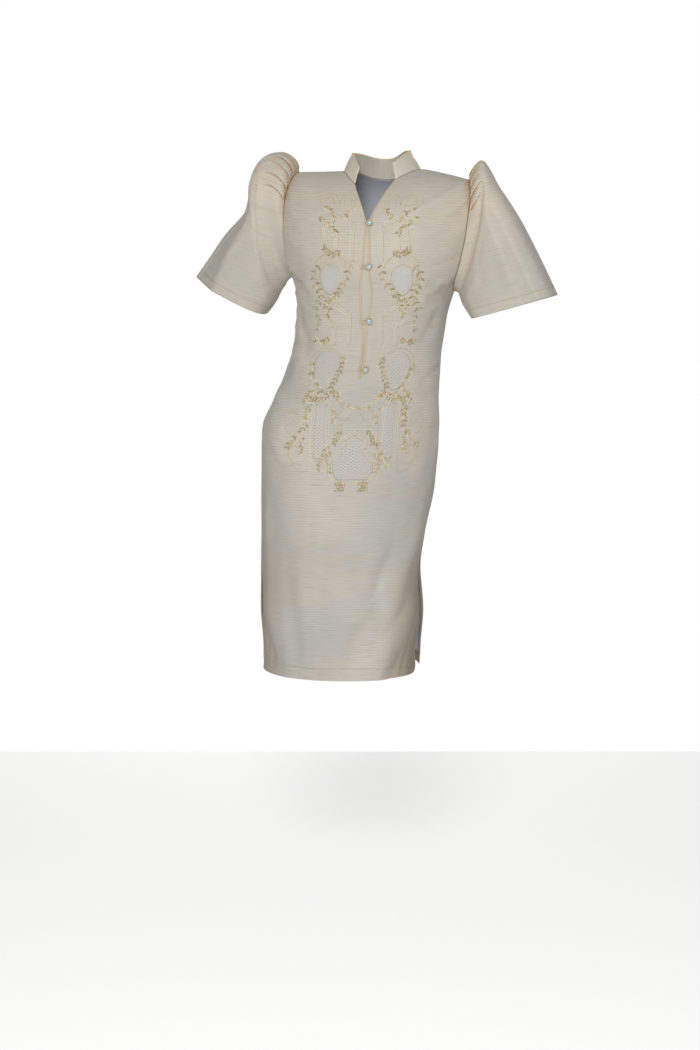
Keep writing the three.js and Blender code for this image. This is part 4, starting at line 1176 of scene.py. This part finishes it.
def first_pearl():
    """A domed pearl button with a flat back, at the origin and facing +Z, in metres."""
    bpy.ops.mesh.primitive_uv_sphere_add(segments=40, ring_count=24, radius=BUTTON_WIDTH / 2 * MM)
    made = bpy.context.object
    activate(made)
    bpy.ops.object.mode_set(mode="EDIT")
    bpy.ops.mesh.select_all(action="SELECT")
    bpy.ops.transform.resize(value=(1, 1, PEARL_DOME), center_override=(0, 0, 0))
    bpy.ops.mesh.select_all(action="DESELECT")
    bpy.ops.object.mode_set(mode="OBJECT")
    foot = -PEARL_BACK * BUTTON_HEIGHT * MM
    for vertex in made.data.vertices:
        vertex.select = vertex.co.z < foot
    bpy.ops.object.mode_set(mode="EDIT")
    bpy.ops.transform.resize(value=(1, 1, 0), center_override=(0, 0, foot))
    bpy.ops.mesh.select_all(action="SELECT")
    bpy.ops.transform.translate(value=(0, 0, -foot))
    bpy.ops.object.mode_set(mode="OBJECT")
    bpy.ops.object.shade_smooth()
    return made


def make_buttons():
    pearl = first_pearl()
    made = []
    for number, z, from_edge in zip(*BUTTONS.values()):
        copy = bpy.data.objects.new(f"{PREFIX}button_{int(number)}", pearl.data.copy())
        bpy.context.scene.collection.objects.link(copy)
        point, normal = on_front(GAPE(z) + from_edge, z, LAYER_GAP + PEARL_LIFT)
        turn = Vector((0, 0, 1)).rotation_difference(Vector(normal)).to_matrix().to_4x4()
        turn.translation = Vector(point) * MM
        copy.data.transform(turn)
        made.append(copy)
    bpy.data.objects.remove(pearl)
    return made


def make_loops():
    """Each loop is a pair of threads from her right front edge, round the button and back."""
    made = []
    reach = BUTTON_WIDTH / 2 + LOOP_ROUND
    for number, z, from_edge in zip(*BUTTONS.values()):
        half = float(GAPE(z))
        centre = half + from_edge
        start = [(-half - 4.5, 2.0), (-half - 1.5, 2.2), (min(-half + 1.5, centre - reach), 2.6)]
        angles = np.radians(np.linspace(150, -150, 25))
        bow = [(centre + reach * math.cos(a), reach * math.sin(a)) for a in angles]
        route = np.array([*start, *bow, *[(x, -dz) for x, dz in start[::-1]]])
        turn = turn_to(route[:, 0], z + route[:, 1])
        way = way_to(turn, z + route[:, 1])
        normal = body_normal(turn, way)
        middle = body(turn, way) + normal * (LAYER_GAP + LOOP_LIFT)
        sideways = unit(np.cross(unit(np.gradient(middle, axis=0)), normal))
        strands = [(middle + sideways * off, normal) for off in (-LOOP_THREAD, LOOP_THREAD)]
        made.append(tubes(f"loop_{int(number)}", strands, LOOP_THREAD))
    return made


def edge_piping(side):
    """The bias piping that rolls over a front edge, from the collar down the V and the placket."""
    rows = np.linspace(PLACKET_ROW + 0.04, LAST_ROW, 170)
    turn, way = (v[:, 0] for v in half_panel(side, False, rows, np.array([1.0 * MIDDLE_COLUMN])))
    normal = body_normal(turn, way)
    return body(turn, way) - normal * (CLOTH * 0.35), normal


buttons = make_buttons()
loops = make_loops()
placket_piping = [
    tubes(f"placket_piping_{side}", [edge_piping(side)], PIPING / 2, 8) for side in SIDE
]


def collar_rim():
    """The line of the cord that edges the collar, up its ends and along its top."""
    rim, facing = (
        np.concatenate([sheet[:-1, 0], sheet[-1], sheet[:-1, -1][::-1]])
        for sheet in (collar_points, collar_normals.reshape(collar_points.shape))
    )
    return rim - facing * (COLLAR_CLOTH / 2), facing


collar_piping = tubes("collar_piping", [collar_rim()], COLLAR_PIPING / 2, 8)


def panel_stitches():
    """The stitched lines that hold the hems and the turned edges of the slits."""
    lines = []
    for back in (False, True):
        turn, way, _ = joined(back, ROWS == HEM_TOP_ROW)
        lines.append((turn[0], way[0]))
        column = np.flatnonzero(TURNED_COLS)[-1]
        for side in SIDE:
            lines.append([v[SLIT_ROWS, column] for v in HALVES[side, back]])
    return [(body(turn, way, STITCH_LIFT), body_normal(turn, way)) for turn, way in lines]


stitches = tubes("stitches", [*panel_stitches(), *cuff_stitches], STITCH, 5)


# ---------- embroidery ----------
def drawn(points, spacing, straight=False):
    """Evenly spaced places along a line through points: straight from corner to corner, or a
    smooth curve."""
    points = np.asarray(points, float)
    if not straight:
        before, after = 2 * points[:1] - points[1:2], 2 * points[-1:] - points[-2:-1]
        padded = np.concatenate([before, points, after])
        t = np.linspace(0, 1, 12, endpoint=False)[:, None]
        parts = []
        for a, b, c, d in zip(padded, padded[1:], padded[2:], padded[3:]):
            curve = b + (c - b) * ease(t) + (c - a) / 2 * t * (1 - t) ** 2
            parts.append(curve + (d - b) / 2 * t * t * (t - 1))
        points = np.concatenate([*parts, points[-1:]])
    length = lengths_along(points)
    stops = np.linspace(0, length[-1], max(3, round(length[-1] / spacing) + 1))
    if straight:
        stops = np.unique(np.concatenate([stops, length]))
    return np.stack([np.interp(stops, length, points[:, k]) for k in (0, 1)], -1), stops


def mirrored(places, side):
    return places * np.array([SIDE[side], 1.0])


def beside(places, off):
    """A line moved sideways by an even distance."""
    run = unit(np.gradient(places, axis=0))
    return places + np.stack([-run[:, 1], run[:, 0]], -1) * off


def sewn_cord(places, radius):
    """A cord's path along places on the front, sunk into the cloth for part of its thickness."""
    return on_front(places[:, 0], places[:, 1], radius * 0.35)


def leaves_on(places, stops, row):
    """Roots, directions and lengths of the leaves along a stem, in pairs that point onwards."""
    made = []
    for stop in np.arange(row["start"], stops[-1] + 0.1, row["every"]):
        before, root, ahead = (
            np.array([np.interp(stop + way, stops, places[:, k]) for k in (0, 1)])
            for way in (-2, 0, 2)
        )
        run = math.atan2(*(ahead - before)[::-1])
        for hand in (-1, 1):
            if row["hands"] in (0, hand):
                angle = run + hand * math.radians(row["lean"] + RANDOM.uniform(-9, 9))
                length = row["leaf"] * RANDOM.uniform(0.8, 1.15)
                made.append((*root, math.cos(angle), math.sin(angle), length))
    return made


# A leaf in padded satin stitch, by the part of its length: shares of its half width, which is
# itself a share of its length, and of its height. A knot is a short leaf astray of the stem.
LEAF = columns("t half high", """
    0    0.05 0.1
    0.22 0.72 0.75
    0.5  1    1
    0.78 0.66 0.8
    1    0.05 0.1
""")
LEAF_WIDE = 0.21
LEAF_HIGH = 0.75
LEAF_LIFT = 0.12
LEAF_ROOT = -0.2
KNOT_LONG = 2.2
KNOT_SPREAD = 4.2


def leaf_mesh(name, leaves):
    """Small padded leaves standing on the front."""
    x, z, run_x, run_z, length = np.array(leaves).T[:, :, None, None]
    t, across = LEAF["t"][None, :, None], np.array([-1.0, 0.0, 1.0])[None, None]
    along, off = t * length, across * LEAF["half"][None, :, None] * LEAF_WIDE * length
    at_x, at_z = x + along * run_x + off * run_z, z + along * run_z - off * run_x
    high = LEAF["high"][None, :, None] * (1 - abs(across)) * LEAF_HIGH + 0 * length
    top = on_front(at_x.ravel(), at_z.ravel(), high.ravel() + LEAF_LIFT)[0]
    under = on_front(at_x.ravel(), at_z.ravel(), LEAF_ROOT)[0]
    one = grid_quads(len(LEAF["t"]), 3)
    quads = (one[None] + np.arange(len(leaves))[:, None, None] * len(LEAF["t"]) * 3).reshape(-1, 4)
    uv = np.stack([off.ravel() + 0 * at_x.ravel(), along.repeat(3, 2).ravel()], -1) * MM
    return wall(name, top, under, quads, uv)


def patch(name, outline):
    """A thin net inset with a closed outline, given clockwise round its middle. Its second UV
    layer runs from 0 at its middle to 1 at its edge."""
    outline = np.asarray(outline, float)
    middle = outline.mean(0)
    shares = np.linspace(0, 1, 11)
    places = (middle + (outline - middle)[None] * shares[:, None, None]).reshape(-1, 2)
    point, normal = on_front(places[:, 0], places[:, 1], NET_LIFT)
    uv = np.stack([turn_to(places[:, 0], places[:, 1]) * DEGREE_MM, places[:, 1]], -1) * MM
    quads = grid_quads(len(shares), len(outline), True)
    made = wall(name, point, point - normal * NET_CLOTH, quads, uv)
    near_edge = np.repeat(shares, len(outline))
    add_uv(made.data, "edge", np.stack([np.tile(near_edge, 2)] * 2, -1))
    return made


def egg(x, z, wide, high, narrow):
    """Clockwise outline of an oval that is narrower at its foot."""
    angle = np.linspace(0, -2 * np.pi, 48, endpoint=False)
    across = wide * np.cos(angle) * (1 + narrow * np.sin(angle))
    return np.stack([x + across, z + high * np.sin(angle)], -1)


def embroider():
    """The cords, leaves and knots of both halves, each kind as one piece."""
    cords = {"frame_cord": [], "scroll_cord": [], "stem_cord": []}
    leaves = {"leaf_dark": [], "leaf_gold": [], "leaf_pale": [], "knots": []}
    names = list(leaves)
    for number, *values in zip(*SEWN.values()):
        row = dict(zip(list(SEWN)[1:], values))
        for side in SIDE:
            points = mirrored(LINES[number], side)
            if row["kind"] == FRAME:
                places, _ = drawn(points, 4.0, straight=True)
                for off in (-FRAME_GAP / 2, FRAME_GAP / 2):
                    cords["frame_cord"].append(sewn_cord(beside(places, off), FRAME_CORD))
                cords["stem_cord"].append(sewn_cord(beside(places, FRAME_EDGE), STEM_CORD))
                continue
            places, stops = drawn(points, 3.0)
            if row["kind"] == SCROLL:
                cords["scroll_cord"].append(sewn_cord(places, SCROLL_CORD))
            else:
                cords["stem_cord"].append(sewn_cord(places, STEM_CORD))
                mirrored_row = {**row, "hands": row["hands"] * SIDE[side]}
                for leaf in leaves_on(places, stops, mirrored_row):
                    shade = int(np.clip(row["tone"] + RANDOM.integers(-1, 2), 0, 2))
                    leaves[names[shade]].append(leaf)
                    knot = leaf[:2] + RANDOM.normal(0, KNOT_SPREAD, 2)
                    leaves["knots"].append((*knot, *leaf[2:4], KNOT_LONG))
    radii = (FRAME_CORD, SCROLL_CORD, STEM_CORD)
    made = [tubes(name, paths, r) for (name, paths), r in zip(cords.items(), radii)]
    return made + [leaf_mesh(name, rows) for name, rows in leaves.items()]


def net_insets():
    """The insets of fine net and those of lattice."""
    fine, lattice = [], []
    for side in SIDE:
        turn_round = slice(None) if side == "left" else slice(None, None, -1)
        for number, x, z, wide, high, narrow in zip(*OVALS.values()):
            outline = mirrored(egg(x, z, wide, high, narrow), side)[turn_round]
            kind = fine if number == 1 else lattice
            kind.append(patch(f"inset_{int(number)}_{side}", outline))
        outline, _ = drawn(mirrored(np.array(PANEL_OUTLINE), side), 4.0, straight=True)
        lattice.append(patch(f"inset_3_{side}", outline[:-1][turn_round]))
    outline, _ = drawn(MIDDLE_OUTLINE, 4.0, straight=True)
    lattice.append(patch("inset_4", outline[:-1]))
    return fine, lattice


embroidery = embroider()
fine_insets, lattice_insets = net_insets()


# ---------- materials ----------
def colour(code):
    """A linear colour from an sRGB hex code."""
    parts = [int(code[i : i + 2], 16) / 255 for i in (1, 3, 5)]
    return [p / 12.92 if p <= 0.04045 else ((p + 0.055) / 1.055) ** 2.4 for p in parts] + [1.0]


def new_material(name, **sockets):
    made = bpy.data.materials.new(name)
    made.use_nodes = True
    tree = made.node_tree
    shader = tree.nodes["Principled BSDF"]
    for socket, value in sockets.items():
        shader.inputs[socket.replace("_", " ")].default_value = value
    return made, tree, shader


def node(tree, kind, inputs=(), output=0, **settings):
    """Adds a node with its settings, sets each input to a value or links it to an output, and gives
    one of the node's outputs. Inputs are a list from the first on, or a dict by name or place."""
    made = tree.nodes.new(kind)
    for name, value in settings.items():
        setattr(made, name, value)
    for name, value in inputs.items() if isinstance(inputs, dict) else enumerate(inputs):
        if isinstance(value, bpy.types.NodeSocket):
            tree.links.new(value, made.inputs[name])
        else:
            made.inputs[name].default_value = value
    return made.outputs[output]


MATH, RANGE, MIX = "ShaderNodeMath", "ShaderNodeMapRange", "ShaderNodeMix"
MAPPING, SEPARATE = "ShaderNodeMapping", "ShaderNodeSeparateXYZ"
# The places of a colour mix's sockets, which share their names with those of other kinds of value.
SHARE, FIRST, SECOND, MIXED = 0, 6, 7, 2

# The warm tint of the painted shade in folds, seams and pleats.
PAINTED_FOLD_SHADE = "#ffe5c4"
# The tint of the painted shade on the skirt's sides.
PAINTED_SIDE_SHADE = "#cdc6ba"
SEAM_UV = 90 * DEGREE_MM * MM  # the side seams on the cloth's own coordinates, in metres
# The middle of the darkest painted shade on the lower skirt.
LEFT_SHADE_UV = 0.165  # the front's left part, where the skirt swings away
# Noise on the cloth's own coordinates: so many to a metre across and down, and its detail. Slubs
# come out about 30 mm long and 1.6 mm high, and threads 0.8 mm, since the real 0.2 mm can't show.
CLOTH_NOISE = {
    "slub": (34, 620, 2.0),
    "thread": (50, 1300, 1.0),
    "warp": (700, 20, 1.0),
    "cloud": (7, 6, 3.0),
    "band": (5, 70, 2.0),
    "watered": (5, 7, 1.0),
}


def net(tree, uv, pitch, thread, gap):
    """The colour and height of calado: drawn-thread work, whose open ground is overcast into a
    slanting net. The pitch is the space between its bars in millimetres."""
    scale = 1 / (pitch * MM)
    slant = (0, 0, math.radians(40))
    placed = node(tree, MAPPING, {"Vector": uv, "Rotation": slant, "Scale": (scale, scale, 1)})
    bars = [
        node(tree, MATH, [node(tree, SEPARATE, [placed], axis), 0.5], operation="PINGPONG")
        for axis in "XY"
    ]
    share = node(tree, RANGE, [node(tree, MATH, bars, operation="MINIMUM"), 0.06, 0.3])
    tones = {SHARE: share, FIRST: colour(thread), SECOND: colour(gap)}
    return node(tree, MIX, tones, MIXED, data_type="RGBA"), share


def jusi(name, pale, cool, warm, slub_tone, rough=0.5, inset=None, fold_shade_tint=PAINTED_FOLD_SHADE):
    """Jusi: a stiff, sheer silk and pineapple plain weave. Uneven weft threads give it fine level
    slubs, cloudy warm and cool places, a faint watered ripple and a dull sheen. An inset has a
    calado net drawn into the same cloth, given by its pitch, thread and gap."""
    made, tree, shader = new_material(
        name,
        Roughness=rough,
        Sheen_Weight=0.15,
        Sheen_Roughness=0.4,
        Specular_IOR_Level=0.3,
    )
    uv = node(tree, "ShaderNodeUVMap", uv_map="cloth")
    fields = {}
    for field, (across, down, detail) in CLOTH_NOISE.items():
        placed = node(tree, MAPPING, {"Vector": uv, "Scale": (across, down, 1)})
        inputs = {"Vector": placed, "Scale": 1.0, "Detail": detail}
        fields[field] = node(tree, "ShaderNodeTexNoise", inputs, "Fac", noise_dimensions="2D")
    cloud = node(tree, RANGE, [fields["cloud"], 0.35, 0.65])
    band = node(tree, RANGE, [fields["band"], 0.45, 0.75])
    warm_band = node(tree, MATH, [band, 0.3], operation="MULTIPLY")
    streak = node(tree, RANGE, [fields["slub"], 0.5, 0.75, 0.0, 0.4])
    weave = node(tree, MATH, [fields["warp"], 0.35, fields["slub"]], operation="MULTIPLY_ADD")

    # The watered ripple: level waves 4.5 mm apart, stronger in some places than in others.
    waves = {"Vector": uv, "Scale": 70.0, "Distortion": 5.0, "Detail": 1.0, "Detail Scale": 0.14}
    ripple = node(tree, "ShaderNodeTexWave", waves, "Fac", bands_direction="Y")
    watered = node(tree, RANGE, [fields["watered"], 0.4, 0.62, 0.01, 0.1])
    watered = node(tree, MATH, [ripple, watered], operation="MULTIPLY")
    light = node(tree, MATH, [fields["thread"], 0.14, 0.91], operation="MULTIPLY_ADD")
    light = node(tree, MATH, [light, watered], operation="ADD")

    # The cloth is warmer towards the shoulders. Below the hips, near the side seams, painted shade
    # darkens it where the skirt turns away from the light, the most on the wearer's left, where
    # the skirt swings away.
    round_uv, down_uv = (node(tree, SEPARATE, [uv], axis) for axis in "XY")
    higher = node(tree, RANGE, [down_uv, -0.5, -0.1, 0.0, 0.3])
    seam_way = node(tree, MATH, [round_uv, 2 * SEAM_UV], operation="PINGPONG")
    seam_way = node(tree, MATH, [seam_way, SEAM_UV], operation="SUBTRACT")
    seam_way = node(tree, MATH, [seam_way], operation="ABSOLUTE")
    seam_way = node(tree, MATH, [cloud, -0.03, seam_way], operation="MULTIPLY_ADD")
    swing_way = node(tree, MATH, [round_uv, LEFT_SHADE_UV], operation="SUBTRACT")
    swing_way = node(tree, MATH, [swing_way], operation="ABSOLUTE")
    painted_side_shares = []
    for way, reach, high, low, most in (
        (swing_way, 0.1, -0.62, -0.8, 0.75),
        (seam_way, 0.13, -0.48, -0.74, 1.0),
    ):
        near = node(tree, RANGE, [way, reach, 0.02])
        lower = node(tree, RANGE, [down_uv, high, low, 0.0, most])
        painted_side_shares.append(node(tree, MATH, [near, lower], operation="MULTIPLY"))

    # Painted shade: where ambient occlusion finds folds, seams and pleats, the colour is multiplied
    # by a warm tint, which stands for shade there, warmed like light through the sheer layers.
    depth = node(tree, "ShaderNodeAmbientOcclusion", {"Distance": 0.012}, "AO", samples=6)
    painted_fold_share = node(tree, RANGE, [depth, 0.8, 0.3])

    layers = [
        ("MIX", cloud, colour(pale)),
        ("MIX", warm_band, colour(warm)),
        ("MIX", higher, colour(warm)),
        *(("MULTIPLY", share, colour(PAINTED_SIDE_SHADE)) for share in painted_side_shares),
        ("MIX", streak, colour(slub_tone)),
    ]
    if inset:
        edge = node(tree, "ShaderNodeUVMap", uv_map="edge")
        inside = node(tree, RANGE, [node(tree, SEPARATE, [edge]), 1.0, 0.5])
        net_colour, open_share = net(tree, uv, *inset)
        layers.append(("MIX", inside, net_colour))
        weave = node(tree, MATH, [weave, open_share], operation="SUBTRACT")
    layers += [("MULTIPLY", 1.0, light), ("MULTIPLY", painted_fold_share, colour(fold_shade_tint))]
    ground = colour(cool)
    for blend, share, tone in layers:
        tones = {SHARE: share, FIRST: ground, SECOND: tone}
        ground = node(tree, MIX, tones, MIXED, data_type="RGBA", blend_type=blend)
    tree.links.new(ground, shader.inputs["Base Color"])
    bump = {"Height": weave, "Strength": 0.25, "Distance": 0.0005}
    tree.links.new(node(tree, "ShaderNodeBump", bump), shader.inputs["Normal"])
    return made


def floss(name, code, rough=0.42):
    """Stranded silk floss in satin stitch: smooth and a little glossy along the thread."""
    return new_material(name, Base_Color=colour(code), Roughness=rough, Sheen_Weight=0.2)[0]


CLOTH_TONES = ("#cdc5bb", "#bebdb7", "#c8bba2", "#aea28c")
CLOTH_LOOK = jusi("jusi_cloth", *CLOTH_TONES)
FINE_NET = jusi("jusi_calado_fine", *CLOTH_TONES, inset=(2.8, "#cfceca", "#b6b8b5"))
LATTICE = jusi("jusi_calado_lattice", *CLOTH_TONES, inset=(4.2, "#cdc9c3", "#b5aea8"))
# The stand gets a paler tint of painted fold shade.
STAND_LOOK = jusi("jusi_stand", "#cdc6b9", "#c3c0b8", "#c9bda6", "#b7ab96", fold_shade_tint="#fff6ea")
COLLAR_LOOK = jusi("jusi_collar", "#dcd5ca", "#d3d0c9", "#d8cab0", "#c3b79f")
TURNED_LOOK = jusi("jusi_turned", "#c9bea9", "#bfb6a4", "#bda988", "#a4957a", rough=0.6)
# Plain-woven bias piping and lining, and spun threads: dull, with hardly any gloss.
PIPING_LOOK = new_material("bias_piping", Base_Color=colour("#dccbab"), Roughness=0.55)[0]
LINING_LOOK = new_material("lining", Base_Color=colour("#d5d9e0"), Roughness=0.5)[0]
# Faux pearl: nacre lacquer over glass, whose clear coat gives it sharp highlights.
PEARL = {"Base_Color": colour("#b3c6c4"), "Roughness": 0.14, "Coat_Weight": 0.6}
PEARL_LOOK = new_material("pearl", **PEARL)[0]
THREAD_LOOK = new_material("loop_thread", Base_Color=colour("#d9c8a2"), Roughness=0.6)[0]
STITCH_LOOK = new_material("sewing_thread", Base_Color=colour("#b5aa94"), Roughness=0.6)[0]
FLOSS_LOOKS = {
    "frame_cord": floss("floss_white", "#e1ddd4"),
    "scroll_cord": floss("floss_straw", "#cbbc9b"),
    "stem_cord": floss("floss_stem", "#c8ba9a"),
    "leaf_dark": floss("floss_olive", "#a69770"),
    "leaf_gold": floss("floss_gold", "#bfae84"),
    "leaf_pale": floss("floss_cream", "#d8cdb2"),
    "knots": floss("floss_knots", "#efe8da", rough=0.3),
}


def dress(piece, looks):
    """Gives a piece its looks, and has it stand for the CAD node of its name, if there is one."""
    for look in looks:
        piece.data.materials.append(look)
    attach(piece, "root")
    node_name = piece.name.removeprefix(PREFIX)
    if node_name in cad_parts:
        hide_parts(node_name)


TURNED = [front_hem, back_hem, *sleeve_hems.values(), *facings]
for pieces, slot, *looks in (
    ([front, back, *sleeves.values()], "cloth", CLOTH_LOOK, LINING_LOOK),
    ([collar], "cloth", COLLAR_LOOK, COLLAR_LOOK),
    ([button_stand], "cloth", STAND_LOOK, STAND_LOOK),
    (TURNED, "turned_cloth", TURNED_LOOK, TURNED_LOOK),
    (buttons, "pearl", PEARL_LOOK),
    (loops, "cord", THREAD_LOOK),
    ([stitches], "cord", STITCH_LOOK),
    ([*placket_piping, collar_piping], "cord", PIPING_LOOK),
    (fine_insets, "cloth", FINE_NET, FINE_NET),
    (lattice_insets, "cloth", LATTICE, LATTICE),
):
    for piece in pieces:
        dress(piece, looks)
for piece in embroidery:
    look = FLOSS_LOOKS[piece.name.removeprefix(PREFIX)]
    dress(piece, [look, look])


# ---------- floor, light and camera ----------
FLOOR_Z = -1.40
FLOOR_GLOW = 0.3
SOFT_LIGHT = 0.32
LAMP_TINT = (1.0, 0.995, 0.985)
WHITE = (1, 1, 1, 1)
YAW = math.radians(12.9058)
PITCH = math.radians(9.4463)


def area_light(name, place, aim, size, watts):
    """A round lamp that faces its aim."""
    lamp = bpy.data.lights.new(name, "AREA")
    lamp.shape = "DISK"
    lamp.size = size
    lamp.energy = watts
    lamp.color = LAMP_TINT
    made = bpy.data.objects.new(name, lamp)
    made.location = place
    made.rotation_euler = (Vector(aim) - Vector(place)).to_track_quat("-Z", "Y").to_euler()
    bpy.context.scene.collection.objects.link(made)


# The floor is turned with the camera, so that its far edge lies level.
corners = np.array([(-2600, -2600, 0), (2600, -2600, 0), (2600, 1300, 0), (-2600, 1300, 0)], float)
c, s = math.cos(YAW), math.sin(YAW)
corners = corners @ np.array([(c, s, 0), (-s, c, 0), (0, 0, 1)])
floor = make_object("floor", corners + np.array([0, 0, FLOOR_Z / MM]), [(0, 1, 2, 3)])
floor.name = "floor"
floor_look, floor_tree, floor_shader = new_material(
    "studio_floor", Base_Color=WHITE, Roughness=0.9, Emission_Color=WHITE
)
# Only the camera sees the floor's glow and the white behind it. Neither lights the cloth.
seen = node(floor_tree, "ShaderNodeLightPath", output="Is Camera Ray")
floor_glow = node(floor_tree, MATH, [seen, FLOOR_GLOW], operation="MULTIPLY")
floor_tree.links.new(floor_glow, floor_shader.inputs["Emission Strength"])
floor.data.materials.append(floor_look)

world = bpy.data.worlds.new("studio")
world.use_nodes = True
bpy.context.scene.world = world
sky = world.node_tree
background = sky.nodes["Background"]
background.inputs["Color"].default_value = WHITE
background.inputs["Strength"].default_value = SOFT_LIGHT
shown = node(sky, "ShaderNodeBackground", {"Color": WHITE, "Strength": 1.0})
seen = node(sky, "ShaderNodeLightPath", output="Is Camera Ray")
mixed = node(sky, "ShaderNodeMixShader", [seen, background.outputs[0], shown])
sky.links.new(mixed, sky.nodes["World Output"].inputs["Surface"])

# Name, place and aim in metres, size and watts: a soft key before the dress, a weak fill from the
# wearer's left, and a low one behind, which lights the back and the rims.
area_light("key", (0.4, -3.2, 1.0), (0, 0, -0.35), 1.0, 65)
area_light("side", (2.4, -1.2, 0.6), (0, 0, -0.4), 1.2, 3)
area_light("back", (-1.0, 3.2, -0.3), (0, 0, -0.5), 1.6, 26)

lens = bpy.data.cameras.new("camera")
lens.lens = 70.53
lens.clip_start = 0.05
camera = bpy.data.objects.new("camera", lens)
camera.location = (0.7485, -3.5213, -0.02)
camera.rotation_euler = (math.pi / 2 - PITCH, 0, YAW)
bpy.context.scene.collection.objects.link(camera)
bpy.context.scene.camera = camera
bpy.context.scene.view_settings.view_transform = "Standard"
